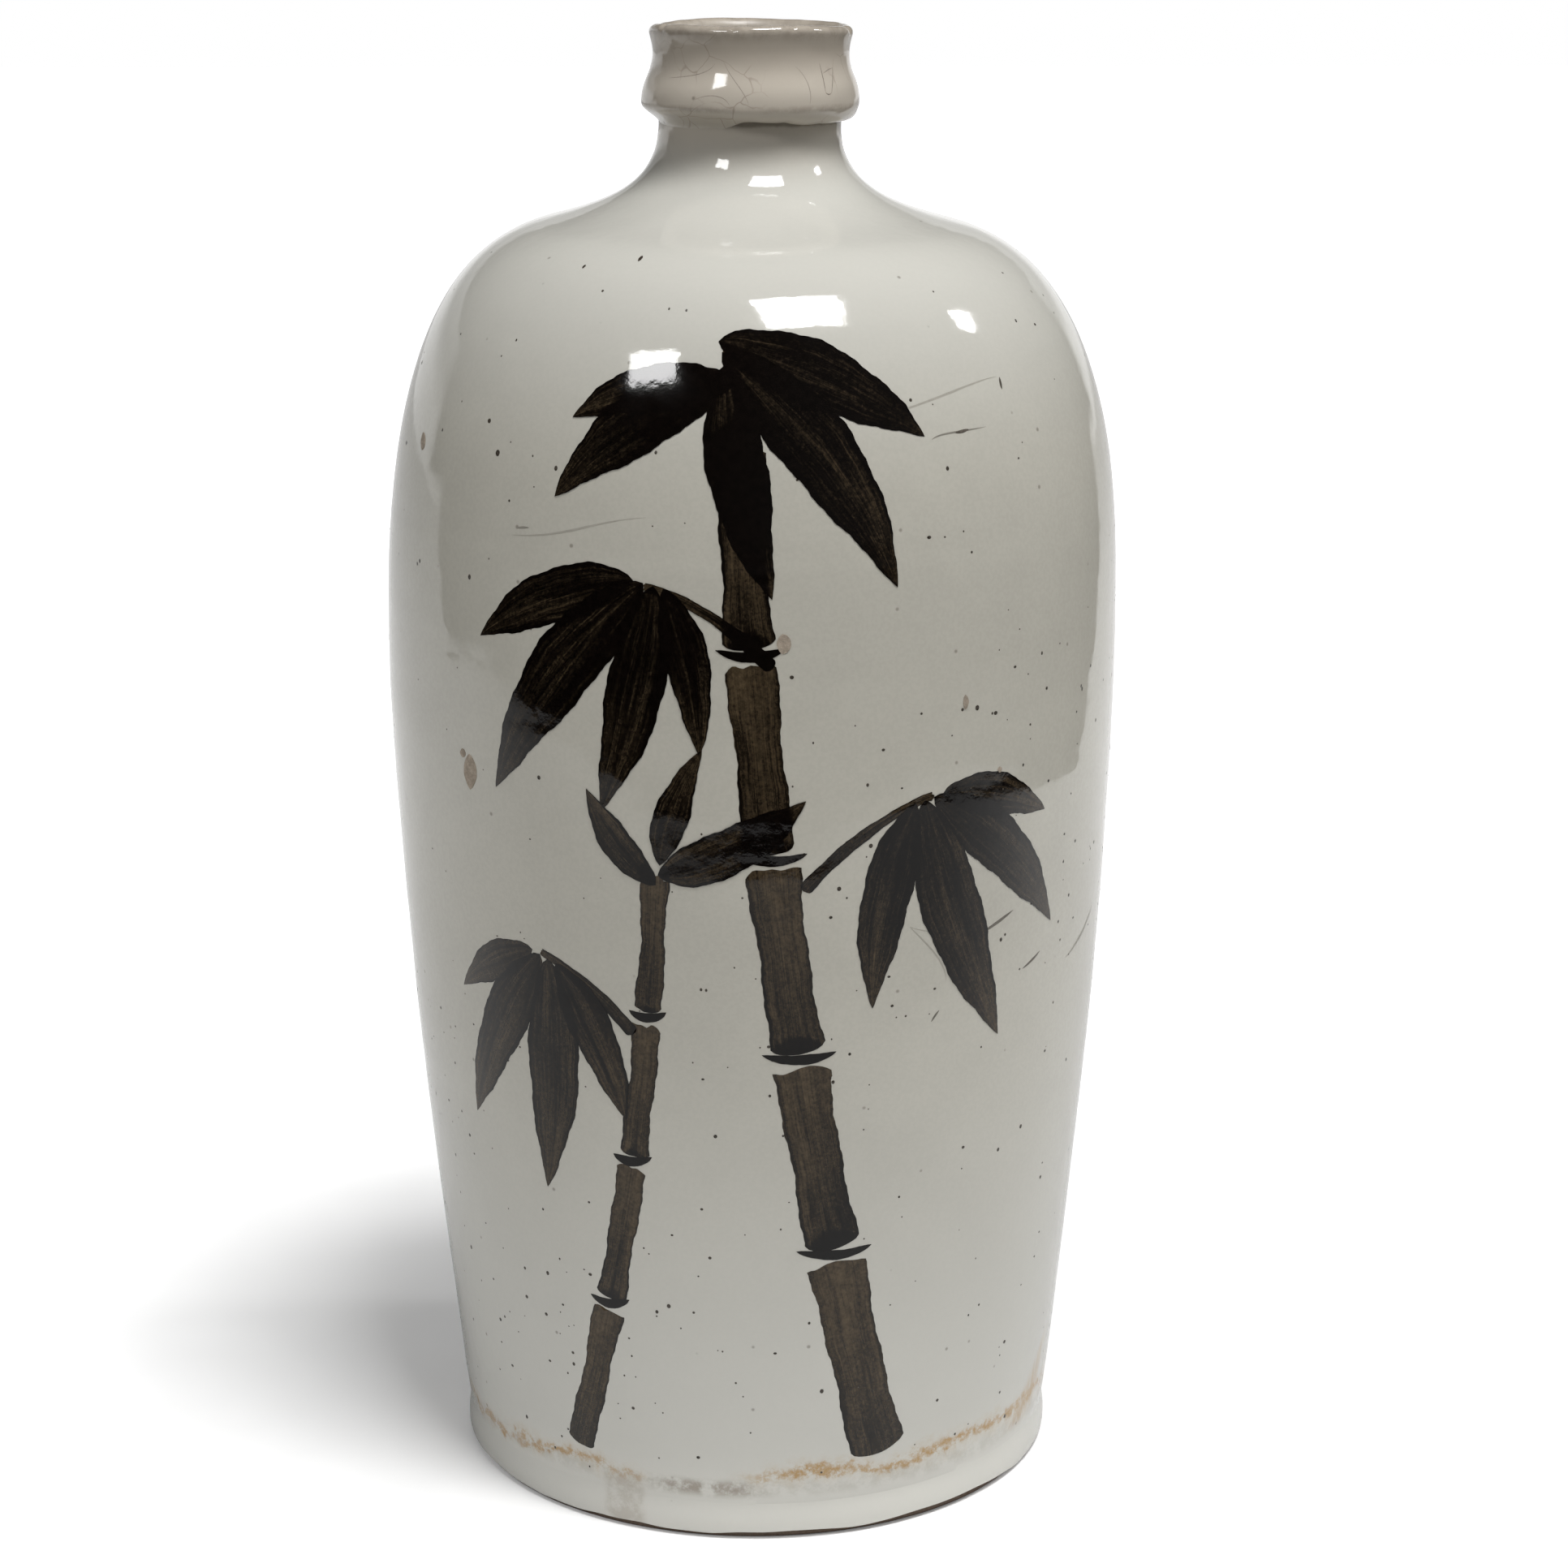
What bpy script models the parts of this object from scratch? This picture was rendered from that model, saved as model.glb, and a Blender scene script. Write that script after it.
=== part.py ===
"""Glazed stoneware sake bottle, put together as a potter does it.

The body is thrown in sections. Each rim is cut to a V groove, the next section has a matching
tongue, and a ring of slip lutes the two. A glaze coat covers the outside down to the bare foot,
and a second one lines the inside. Metres, +Z up, the foot stands on z = 0 and the axis is Z.
"""

import math

import bmesh
import bpy
import numpy as np
from mathutils import Vector
from mathutils.geometry import interpolate_bezier

# Walls and joints
WALL = 0.0052            # clay, measured square to the wall
GLAZE = 0.0005           # each glaze layer
SLIP = 0.0006            # slip ring in a joint
FIT_GAP = 0.0003         # clearance between neighbouring layers
JOINT_DEPTH = 0.0018     # depth of the V groove across a rim

# Foot and base
WAIST_RADIUS = 0.06565   # shallow groove over the foot band
WAIST_RISE = 0.0056      # groove above the swelling
BAND_SWELL = 0.00045     # swelling of the band beyond the groove
BAND_RISE = 0.0026
FOOT_ROUND = 0.0017      # rounded edge between the swelling and the table
FOOT_WIDTH = 0.0105      # ring that stands on the table
FOOT_HEIGHT = 0.0022     # bare clay below the slip
FLOOR_THICKNESS = 0.0056
COVE_RADIUS = 0.0024     # fillet between the floor and the wall
BASE_RIM_RISE = 0.0004   # joint above that fillet

# Body and neck
BELLY_RADIUS = 0.07895
WALL_RISE = 0.1698       # belly above the groove
SHOULDER_SEAM_RISE = 0.0370
TURN_RADIUS = 0.04554    # where the shoulder starts to sweep up into the neck
SHOULDER_RISE = 0.09526  # that turn above the belly
NECK_RADIUS = 0.01915    # narrowest place, in the notch under the collar
NECK_RISE = 0.02034      # notch above the turn
NECK_SEAM_DROP = 0.0088  # joint below the notch

# Collar and mouth, overhangs beyond the neck
COLLAR_SEAM_RISE = 0.0004
RIDGE_OVERHANG = 0.0039
RIDGE_RISE = 0.0051
COLLAR_OVERHANG = 0.0016
COLLAR_RISE = 0.0106
LIP_OVERHANG = 0.0023
LIP_RISE = 0.0035
RIM_RISE = 0.0017
LIP_WIDTH = 0.00365
MOUTH_DROP = 0.0022      # straight mouth below the rim
THROAT_DROP = 0.0123     # funnel from the mouth to the bore
COAT_DROP = 0.0095       # outer glaze ends this far inside the rim

# Fullness of each curve: handle length as a share of the run it belongs to
FOOT_FULLNESS = 0.55
BAND_FULLNESS = 0.40
WALL_START_FULLNESS = 0.018
WALL_FULLNESS = 0.292
WALL_FLARE = math.radians(21.3)
BELLY_FULLNESS = 0.3286
SHOULDER_FULLNESS = 1.0476
SHOULDER_PITCH = math.radians(16.4)
TURN_FULLNESS = 0.4168
NECK_FULLNESS = 0.703
NOTCH_FULLNESS = 0.275
RIDGE_FULLNESS = 0.373
COLLAR_FULLNESS = 0.30
LIP_FULLNESS = 0.38
ROUND_FULLNESS = 0.552
FUNNEL_FULLNESS = 0.34

# Facets round the axis and along each curve
SIDES = 32
WALL_STEPS = 6
SHOULDER_STEPS = 7
NECK_STEPS = 5
FUNNEL_STEPS = 4
ROUND_STEPS = 3          # bands, ridges and rounded corners
LIP_STEPS = 2
SMOOTH_ANGLE = math.radians(30.0)
MERGE_DISTANCE = 0.000001

# Heights that follow from the sizes
BAND_Z = BAND_RISE
WAIST_Z = BAND_Z + WAIST_RISE
BELLY_Z = WAIST_Z + WALL_RISE
SHOULDER_SEAM_Z = BELLY_Z + SHOULDER_SEAM_RISE
TURN_Z = BELLY_Z + SHOULDER_RISE
NECK_Z = TURN_Z + NECK_RISE
NECK_SEAM_Z = NECK_Z - NECK_SEAM_DROP
COLLAR_SEAM_Z = NECK_Z + COLLAR_SEAM_RISE
RIDGE_Z = NECK_Z + RIDGE_RISE
COLLAR_Z = RIDGE_Z + COLLAR_RISE
LIP_Z = COLLAR_Z + LIP_RISE
RIM_Z = LIP_Z + RIM_RISE
MOUTH_Z = RIM_Z - MOUTH_DROP
THROAT_Z = MOUTH_Z - THROAT_DROP
COAT_END_Z = RIM_Z - COAT_DROP
FOOT_SLIP_Z = FOOT_HEIGHT + FIT_GAP
BASE_Z = FOOT_SLIP_Z + SLIP + FIT_GAP
FLOOR_Z = BASE_Z + FLOOR_THICKNESS
COVE_Z = FLOOR_Z + COVE_RADIUS
BASE_SEAM_Z = COVE_Z + BASE_RIM_RISE

# Depths of the layers below the glazed face, and radii that follow
CLAY_DEPTH = GLAZE + FIT_GAP
INNER_DEPTH = CLAY_DEPTH + WALL
JOINT_STEP = 2 * FIT_GAP + SLIP
BAND_RADIUS = WAIST_RADIUS + BAND_SWELL
FOOT_RADIUS = BAND_RADIUS - FOOT_ROUND
FOOT_INNER_RADIUS = FOOT_RADIUS - FOOT_WIDTH
RIDGE_RADIUS = NECK_RADIUS + RIDGE_OVERHANG
COLLAR_RADIUS = NECK_RADIUS + COLLAR_OVERHANG
LIP_RADIUS = NECK_RADIUS + LIP_OVERHANG
RIM_RADIUS = LIP_RADIUS - LIP_WIDTH / 2
MOUTH_RADIUS = LIP_RADIUS - LIP_WIDTH
BORE_RADIUS = NECK_RADIUS - INNER_DEPTH
THROAT_RADIUS = BORE_RADIUS - CLAY_DEPTH

# Finishes: colour, roughness
GLAZE_FINISH = ((0.40, 0.38, 0.34, 1.0), 0.12)
LINING_FINISH = ((0.34, 0.31, 0.27, 1.0), 0.20)
CLAY_FINISH = ((0.25, 0.20, 0.15, 1.0), 0.85)
SLIP_FINISH = ((0.33, 0.28, 0.22, 1.0), 0.80)


def curve(start, start_handle, end_handle, end, steps):
    """Points of one cubic curve in (radius, height), both ends included."""
    knots = [Vector(point).to_3d() for point in (start, start_handle, end_handle, end)]
    return np.array([point[:2] for point in interpolate_bezier(*knots, steps + 1)])


def rise_curve(start, end, start_fullness, end_fullness, steps):
    """A curve that leaves and arrives upright; each handle is a share of the rise."""
    rise = end[1] - start[1]
    start_handle = (start[0], start[1] + start_fullness * rise)
    end_handle = (end[0], end[1] - end_fullness * rise)
    return curve(start, start_handle, end_handle, end, steps)


def quarter_curve(start, end, upright_first, steps):
    """A rounded corner between an upright and a level tangent."""
    run = end[0] - start[0]
    rise = end[1] - start[1]
    if upright_first:
        start_handle = (start[0], start[1] + ROUND_FULLNESS * rise)
        end_handle = (end[0] - ROUND_FULLNESS * run, end[1])
    else:
        start_handle = (start[0] + ROUND_FULLNESS * run, start[1])
        end_handle = (end[0], end[1] - ROUND_FULLNESS * rise)
    return curve(start, start_handle, end_handle, end, steps)


def joined(*pieces):
    """Consecutive runs as one run, with each shared end kept once."""
    return np.vstack([pieces[0]] + [piece[1:] for piece in pieces[1:]])


def foot_curve():
    """Rounded outer edge of the foot, from the table to the swelling of the band."""
    start = (FOOT_RADIUS, 0.0)
    end = (BAND_RADIUS, BAND_Z)
    start_handle = (FOOT_RADIUS + FOOT_FULLNESS * (BAND_RADIUS - FOOT_RADIUS), 0.0)
    end_handle = (BAND_RADIUS, BAND_Z * (1 - FOOT_FULLNESS))
    return curve(start, start_handle, end_handle, end, ROUND_STEPS)


def wall_curve():
    """Lower wall, flaring from the groove and upright at the belly."""
    reach = WALL_START_FULLNESS * WALL_RISE
    start = (WAIST_RADIUS, WAIST_Z)
    start_handle = (WAIST_RADIUS + reach * math.sin(WALL_FLARE), WAIST_Z + reach * math.cos(WALL_FLARE))
    end_handle = (BELLY_RADIUS, BELLY_Z - WALL_FULLNESS * WALL_RISE)
    return curve(start, start_handle, end_handle, (BELLY_RADIUS, BELLY_Z), WALL_STEPS)


def shoulder_curve():
    """Shoulder, upright at the belly and at a low pitch where it turns to the neck."""
    reach = SHOULDER_FULLNESS * (BELLY_RADIUS - TURN_RADIUS)
    start_handle = (BELLY_RADIUS, BELLY_Z + BELLY_FULLNESS * SHOULDER_RISE)
    end_handle = (TURN_RADIUS + reach * math.cos(SHOULDER_PITCH), TURN_Z - reach * math.sin(SHOULDER_PITCH))
    return curve((BELLY_RADIUS, BELLY_Z), start_handle, end_handle, (TURN_RADIUS, TURN_Z), SHOULDER_STEPS)


def neck_curve():
    """Sweep from the turn up into the upright neck."""
    reach = TURN_FULLNESS * (TURN_RADIUS - NECK_RADIUS)
    start_handle = (TURN_RADIUS - reach * math.cos(SHOULDER_PITCH), TURN_Z + reach * math.sin(SHOULDER_PITCH))
    end_handle = (NECK_RADIUS, NECK_Z - NECK_FULLNESS * NECK_RISE)
    return curve((TURN_RADIUS, TURN_Z), start_handle, end_handle, (NECK_RADIUS, NECK_Z), NECK_STEPS)


def body_face():
    """Outside of the body from the groove over the foot to the notch under the collar."""
    return joined(wall_curve(), shoulder_curve(), neck_curve())


def outer_face():
    """The outside from the swelling of the foot band to the top of the rim, climbing all the way."""
    band = (BAND_RADIUS, BAND_Z)
    notch = (NECK_RADIUS, NECK_Z)
    ridge = (RIDGE_RADIUS, RIDGE_Z)
    collar = (COLLAR_RADIUS, COLLAR_Z)
    lip = (LIP_RADIUS, LIP_Z)
    return joined(
        rise_curve(band, (WAIST_RADIUS, WAIST_Z), BAND_FULLNESS, BAND_FULLNESS, ROUND_STEPS),
        body_face(),
        rise_curve(notch, ridge, NOTCH_FULLNESS, RIDGE_FULLNESS, ROUND_STEPS),
        rise_curve(ridge, collar, COLLAR_FULLNESS, COLLAR_FULLNESS, ROUND_STEPS),
        rise_curve(collar, lip, LIP_FULLNESS, LIP_FULLNESS, LIP_STEPS),
        quarter_curve(lip, (RIM_RADIUS, RIM_Z), True, ROUND_STEPS),
    )


def foot_face():
    """The outside from the table up, foot edge included."""
    return joined(foot_curve(), outer_face())


def mouth_face():
    """The glazed mouth from the top of the rim down its funnel to the bore."""
    mouth = (MOUTH_RADIUS, MOUTH_Z)
    throat = (THROAT_RADIUS, THROAT_Z)
    return joined(
        quarter_curve((RIM_RADIUS, RIM_Z), mouth, False, ROUND_STEPS),
        rise_curve(mouth, throat, FUNNEL_FULLNESS, FUNNEL_FULLNESS, FUNNEL_STEPS),
    )


def inset(run, depth):
    """The run moved square to itself by depth, towards its left, which is where the clay lies."""
    along = np.gradient(run, axis=0)
    along /= np.linalg.norm(along, axis=1, keepdims=True)
    return run + depth * np.column_stack((-along[:, 1], along[:, 0]))


def layer(depth):
    """Outer and mouth faces of a layer under the glazed face, both climbing to its top."""
    outer = outer_face()
    whole = inset(joined(outer, mouth_face()), depth)
    top = len(outer) - 1
    return whole[:top + 1], whole[top:][::-1]


def radius_at(run, height):
    """Radius of a climbing run at a height."""
    return float(np.interp(height, run[:, 1], run[:, 0]))


def between(run, low, high):
    """The stretch of a climbing run between two heights, with its ends cut level."""
    inside = run[(run[:, 1] > low) & (run[:, 1] < high)]
    first = (radius_at(run, low), low)
    last = (radius_at(run, high), high)
    return np.vstack([[first], inside, [last]])


def inner_wall():
    """Inside face of the clay, climbing from the floor through the bore to the rim."""
    body = inset(body_face(), INNER_DEPTH)
    funnel = layer(CLAY_DEPTH)[1]
    return np.vstack([body, funnel])


def groove_middle(outer, inner, height):
    """Bottom of the V across the wall whose edges lie at this height."""
    middle = (radius_at(outer, height) + radius_at(inner, height)) / 2
    return np.array([(middle, height - JOINT_DEPTH)])


def section_outline(outer, inner, low, high):
    """A thrown section: tongue below, groove above."""
    return np.vstack([
        between(outer, low, high),
        groove_middle(outer, inner, high),
        between(inner, low, high)[::-1],
        groove_middle(outer, inner, low),
    ])


def slip_outline(outer, inner, seam):
    """A V-shaped ring of slip that fills the joint over a groove."""
    return section_outline(outer, inner, seam + FIT_GAP, seam + FIT_GAP + SLIP)


def floor_run(inner):
    """Inside of the base from the joint down a cove to the middle of the floor."""
    corner = radius_at(inner, BASE_SEAM_Z)
    cove = quarter_curve((corner, COVE_Z), (corner - COVE_RADIUS, FLOOR_Z), True, ROUND_STEPS)
    return np.vstack([[(corner, BASE_SEAM_Z)], cove, [(0.0, FLOOR_Z)]])


def turned(name, outline, finish, closed=True):
    """A solid of revolution about Z; an open outline starts and ends on the axis."""
    seat = float(outline[:, 1].min())
    body = bmesh.new()
    corners = [body.verts.new((radius, 0.0, height - seat)) for radius, height in outline]
    edges = [body.edges.new(pair) for pair in zip(corners, corners[1:])]
    if closed:
        edges.append(body.edges.new((corners[-1], corners[0])))
    bmesh.ops.spin(
        body, geom=corners + edges, cent=(0, 0, 0), axis=(0, 0, 1),
        angle=math.tau, steps=SIDES, use_merge=True,
    )
    bmesh.ops.remove_doubles(body, verts=body.verts, dist=MERGE_DISTANCE)
    bmesh.ops.recalc_face_normals(body, faces=body.faces)
    mesh = bpy.data.meshes.new(name)
    body.to_mesh(mesh)
    body.free()
    mesh.shade_smooth()
    mesh.set_sharp_from_angle(angle=SMOOTH_ANGLE)
    mesh.materials.append(clay_material(name + "_finish", *finish))
    piece = bpy.data.objects.new(name, mesh)
    piece.location.z = seat
    bpy.context.scene.collection.objects.link(piece)
    return piece


def clay_material(name, colour, roughness):
    """A plain Principled finish."""
    material = bpy.data.materials.new(name)
    material.use_nodes = True
    shader = material.node_tree.nodes["Principled BSDF"]
    shader.inputs["Base Color"].default_value = colour
    shader.inputs["Roughness"].default_value = roughness
    shader.inputs["Metallic"].default_value = 0.0
    return material


def foot_ring():
    """Bare ring that stands on the table."""
    edge = between(foot_face(), 0.0, FOOT_HEIGHT)
    back = [(FOOT_INNER_RADIUS, FOOT_HEIGHT), (FOOT_INNER_RADIUS, 0.0)]
    return turned("foot_ring", np.vstack([edge, back]), CLAY_FINISH)


def foot_slip():
    """Flat ring of slip between the foot ring and the base."""
    top = FOOT_SLIP_Z + SLIP
    edge = between(foot_face(), FOOT_SLIP_Z, top)
    back = [(FOOT_INNER_RADIUS, top), (FOOT_INNER_RADIUS, FOOT_SLIP_Z)]
    return turned("foot_slip", np.vstack([edge, back]), SLIP_FINISH)


def base_dish(clay, inner):
    """Floor slab with the foot band and a grooved rim for the wall."""
    rim = between(clay, BASE_Z, BASE_SEAM_Z)
    groove = groove_middle(clay, inner, BASE_SEAM_Z)
    outline = np.vstack([[(0.0, BASE_Z)], rim, groove, floor_run(inner)])
    return turned("base_dish", outline, CLAY_FINISH, closed=False)


def mouth_collar(clay, inner):
    """Collar with its ridge, waist and rounded lip, on a tongue that sits in the neck."""
    low = COLLAR_SEAM_Z + JOINT_STEP
    outside = between(clay, low, clay[-1, 1])
    inside = between(inner, low, inner[-1, 1])[::-1]
    outline = np.vstack([outside, inside[1:], groove_middle(clay, inner, low)])
    return turned("mouth_collar", outline, CLAY_FINISH)


def glaze_coat():
    """Outer glaze from above the bare foot, over the rim and a little way into the mouth."""
    face, mouth = layer(0.0)
    back, mouth_back = layer(GLAZE)
    outside = between(face, BASE_Z, face[-1, 1])
    inside = between(mouth, COAT_END_Z, mouth[-1, 1])[::-1]
    outside_back = between(back, BASE_Z, back[-1, 1])
    inside_back = between(mouth_back, COAT_END_Z, mouth_back[-1, 1])[::-1]
    outline = np.vstack([joined(outside, inside), joined(outside_back, inside_back)[::-1]])
    return turned("glaze_coat", outline, GLAZE_FINISH)


def inner_glaze(inner):
    """Glaze lining from below the outer coat down the bore and across the floor."""
    floor = floor_run(inner)
    wall = between(inner, floor[0, 1], COAT_END_Z - FIT_GAP)[::-1]
    run = joined(wall, floor)
    back = inset(run, -FIT_GAP)
    face = inset(run, -CLAY_DEPTH)
    back[0, 1] = face[0, 1] = COAT_END_Z - FIT_GAP
    return turned("inner_glaze", np.vstack([back[::-1], face]), LINING_FINISH, closed=False)


def bottle():
    """All pieces, parented to one empty at the middle of the foot."""
    clay = layer(CLAY_DEPTH)[0]
    inner = inner_wall()
    pieces = [foot_ring(), foot_slip(), base_dish(clay, inner)]
    seams = (
        ("base_slip", "lower_wall", BASE_SEAM_Z, SHOULDER_SEAM_Z),
        ("shoulder_slip", "shoulder_dome", SHOULDER_SEAM_Z, NECK_SEAM_Z),
        ("neck_slip", "neck_tube", NECK_SEAM_Z, COLLAR_SEAM_Z),
    )
    for slip_name, section_name, seam, next_seam in seams:
        pieces.append(turned(slip_name, slip_outline(clay, inner, seam), SLIP_FINISH))
        outline = section_outline(clay, inner, seam + JOINT_STEP, next_seam)
        pieces.append(turned(section_name, outline, CLAY_FINISH))
    pieces.append(turned("collar_slip", slip_outline(clay, inner, COLLAR_SEAM_Z), SLIP_FINISH))
    pieces.append(mouth_collar(clay, inner))
    pieces.append(glaze_coat())
    pieces.append(inner_glaze(inner))
    stand = bpy.data.objects.new("sake_bottle", None)
    bpy.context.scene.collection.objects.link(stand)
    for piece in pieces:
        piece.parent = stand


for leftover in list(bpy.data.objects):
    bpy.data.objects.remove(leftover, do_unlink=True)
bottle()
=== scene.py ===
"""Looks of a glazed stoneware sake bottle: glaze, brush painting, kiln marks, bare foot and a white studio.

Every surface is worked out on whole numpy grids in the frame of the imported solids, in metres.
Heights run along +Z, and an angle of -90 degrees faces the camera.
"""

import math

import bmesh
import bpy
import numpy as np
from bpy.props import FloatProperty, FloatVectorProperty, PointerProperty
from mathutils import Euler, Matrix, Quaternion, Vector


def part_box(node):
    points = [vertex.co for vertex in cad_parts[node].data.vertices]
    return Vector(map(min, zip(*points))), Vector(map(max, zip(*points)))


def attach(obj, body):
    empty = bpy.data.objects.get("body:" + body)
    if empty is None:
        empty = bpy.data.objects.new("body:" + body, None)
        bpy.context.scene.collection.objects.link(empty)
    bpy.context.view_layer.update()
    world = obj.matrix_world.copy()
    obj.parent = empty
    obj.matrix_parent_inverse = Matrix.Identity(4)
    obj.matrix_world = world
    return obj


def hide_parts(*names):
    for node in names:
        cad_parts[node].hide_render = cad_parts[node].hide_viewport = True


bl_info = {
    "name": "Glazed sake bottle",
    "version": (1, 0, 0),
    "blender": (4, 5, 0),
    "location": "View3D > Sidebar > Sake Bottle",
    "description": "Glaze, brush painting and kiln marks for a stoneware sake bottle",
    "category": "Object",
}

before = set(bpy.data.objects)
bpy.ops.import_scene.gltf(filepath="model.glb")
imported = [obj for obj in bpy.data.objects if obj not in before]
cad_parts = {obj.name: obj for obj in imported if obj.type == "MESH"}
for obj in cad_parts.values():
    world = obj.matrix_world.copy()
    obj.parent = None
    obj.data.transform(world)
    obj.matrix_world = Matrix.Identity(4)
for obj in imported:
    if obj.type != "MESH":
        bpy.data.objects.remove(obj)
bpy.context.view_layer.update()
COAT_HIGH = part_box("glaze_coat")[1]
LINING_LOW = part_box("inner_glaze")[0]
FOOT_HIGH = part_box("foot_ring")[1]
BASE_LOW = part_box("base_dish")[0]
SHOULDER_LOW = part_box("shoulder_slip")[0]

MM = 0.001
FRONT = -math.pi / 2
IMAGE_SIDE = 1932
SENSOR_WIDTH = 36.0

# Outline: the foot, the glaze's lower edge, the foot band, the neck inside the collar, two slopes,
# the shoulder's sag for each metre to the right, and the radius that parts the lip from the funnel
FOOT_EDGE = FOOT_HIGH.x - 0.0017
FOOT_WIDTH = 0.0105
RING_INSET = 0.0006
UNDERSIDE_RADIUS = 0.0580
GLAZE_EDGE = 0.0009
BAND_HEIGHT = 0.0026
NECK_TOP_RISE = 0.0026
SHOULDER_PITCH = math.radians(16.4)
FOOT_FLARE = math.radians(21.3)
SHOULDER_SAG = 0.0070
SAG_SPAN = (0.215, 0.250, 0.278, 0.290)
LIP_INSIDE = 0.0195

# Grids: rows run along the profile, columns run round the axis
BODY_ROWS = 240
EDGE_ROWS = 20
INSIDE_ROWS = 36
BODY_COLUMNS = 320
COLLAR_COLUMNS = 288
FOOT_COLUMNS = 320
MERGE_DISTANCE = 1e-7
SHARP_ANGLE = math.radians(50)

# Films: how far they stand off the glaze, each layer of paint more, and how deep their backs lie
PAINT_LIFT = 0.000020
LAYER_LIFT = 0.000012
LINE_LIFT = 0.000012
SPOT_LIFT = 0.00012
BURIED = -0.00015

# Glaze, and the colours of small marks, dark and faint
GLAZE_IOR = 1.52
PEEL_DEPTH = 0.0001
PINHOLE = (0.10, 0.085, 0.065, 1.0)
CRACKLE = (0.16, 0.12, 0.09, 1.0)
SPECK = (0.030, 0.024, 0.018, 1.0)
FISSURE_TONES = ((0.050, 0.042, 0.033, 1.0), (0.340, 0.325, 0.280, 1.0))
CRACK_TONES = ((0.120, 0.098, 0.080, 1.0), (0.330, 0.295, 0.250, 1.0))
WHITE = (1.0, 1.0, 1.0, 1.0)


# Settings

def size_setting(name, description, default):
    """A size in metres that a user may change."""
    return FloatProperty(name=name, description=description, unit="LENGTH", default=default)


def colour_setting(name, description, *levels):
    """An opaque colour that a user may change, from its levels of red, green and blue."""
    return FloatVectorProperty(
        name=name, description=description, subtype="COLOR", size=4, default=(*levels, 1.0))


class BottleForm(bpy.types.PropertyGroup):
    """Sizes of the bottle's outline"""

    belly_radius: size_setting("Belly radius", "Widest place of the body", COAT_HIGH.x)
    belly_height: size_setting("Belly height", "Height of the widest place", 0.178)
    waist_radius: size_setting("Waist radius", "Groove over the foot band", 0.06565)
    waist_height: size_setting("Waist height", "Height of that groove", 0.0082)
    turn_radius: size_setting("Turn radius", "Where the shoulder sweeps up", 0.04554)
    turn_height: size_setting("Turn height", "Height of that turn", 0.27326)
    neck_radius: size_setting("Neck radius", "Notch under the collar", 0.01915)
    neck_height: size_setting("Neck height", "Height of that notch", 0.2936)
    ridge_radius: size_setting("Ridge radius", "Ridge of the collar", 0.02305)
    lip_radius: size_setting("Lip radius", "Outside of the lip", 0.02145)
    rim_height: size_setting("Rim height", "Top of the lip", COAT_HIGH.z)
    bore_radius: size_setting("Bore radius", "Inside of the neck", 0.01235)
    wall: size_setting("Wall", "Wall with both glazes", 0.0068)


class BottleFinish(bpy.types.PropertyGroup):
    """Colours of the bottle's finishes"""

    glaze: colour_setting("Glaze", "Warm grey glaze", 0.446, 0.430, 0.376)
    glaze_warm: colour_setting("Glaze, thin", "Thin glaze on the lip and collar", 0.420, 0.365, 0.300)
    # Painted light: at the foot this paler colour stands in for bounce light from the white table; at the
    # shoulder top it makes the glaze paler.
    glaze_pale_and_bounce: colour_setting("Glaze, pale", "Painted bounce light at the foot, paler glaze at the shoulder top", 0.486, 0.480, 0.445)
    stain: colour_setting("Stain", "Iron stain over the foot", 0.350, 0.225, 0.095)
    ink: colour_setting("Pigment, thick", "Iron pigment from a full brush", 0.0028, 0.0019, 0.0015)
    ink_thin: colour_setting("Pigment, thin", "Iron pigment from a dry brush", 0.062, 0.044, 0.025)
    clay: colour_setting("Clay", "Bare fired clay", 0.270, 0.225, 0.175)
    # Painted shade: a dark brown for the foot's outer edge, which lies in shade under the glaze's edge.
    shaded_foot_edge: colour_setting("Clay, painted shade", "Outer edge of the foot", 0.075, 0.047, 0.030)


class BottleStage(bpy.types.PropertyGroup):
    """Camera"""

    distance: size_setting("Distance", "Camera in front of the axis", 0.77)
    height: size_setting("Height", "Camera above the table", 0.3529)
    pitch: FloatProperty(
        name="Pitch", description="How far the camera looks down", subtype="ANGLE",
        default=math.radians(14.77))
    yaw: FloatProperty(
        name="Yaw", description="How far the camera looks to the right", subtype="ANGLE",
        default=math.radians(0.504))
    focal_pixels: FloatProperty(
        name="Focal length", description="In pixels of the picture", default=4434.0)


# Shapes

def bezier(start, start_handle, end_handle, end, count=240):
    """Points of one cubic curve: the four knots weighted by the cubic Bernstein polynomials."""
    t = np.linspace(0.0, 1.0, count)[:, None]
    knots = [np.array(knot, float) for knot in (start, start_handle, end_handle, end)]
    weights = ((1 - t) ** 3, 3 * t * (1 - t) ** 2, 3 * t * t * (1 - t), t ** 3)
    return sum(weight * knot for weight, knot in zip(weights, knots))


def upright(start, end, start_share, end_share):
    """A curve that leaves and arrives along Z, with handles that are shares of its rise."""
    rise = end[1] - start[1]
    leave = (start[0], start[1] + start_share * rise)
    arrive = (end[0], end[1] - end_share * rise)
    return bezier(start, leave, arrive, end)


def run(*pieces):
    """Curves end to end, with each shared point kept once."""
    return np.vstack([pieces[0]] + [piece[1:] for piece in pieces[1:]])


def smooth_step(value, low, high):
    """0 below low, 1 above high, and the cubic 3t^2 - 2t^3 between."""
    t = np.clip((value - low) / (high - low), 0.0, 1.0)
    return t * t * (3 - 2 * t)


def between(value, low, full, fall, high):
    """0 outside low and high, 1 from full to fall, and smooth steps at both ends."""
    return smooth_step(value, low, full) * (1 - smooth_step(value, fall, high))


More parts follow.
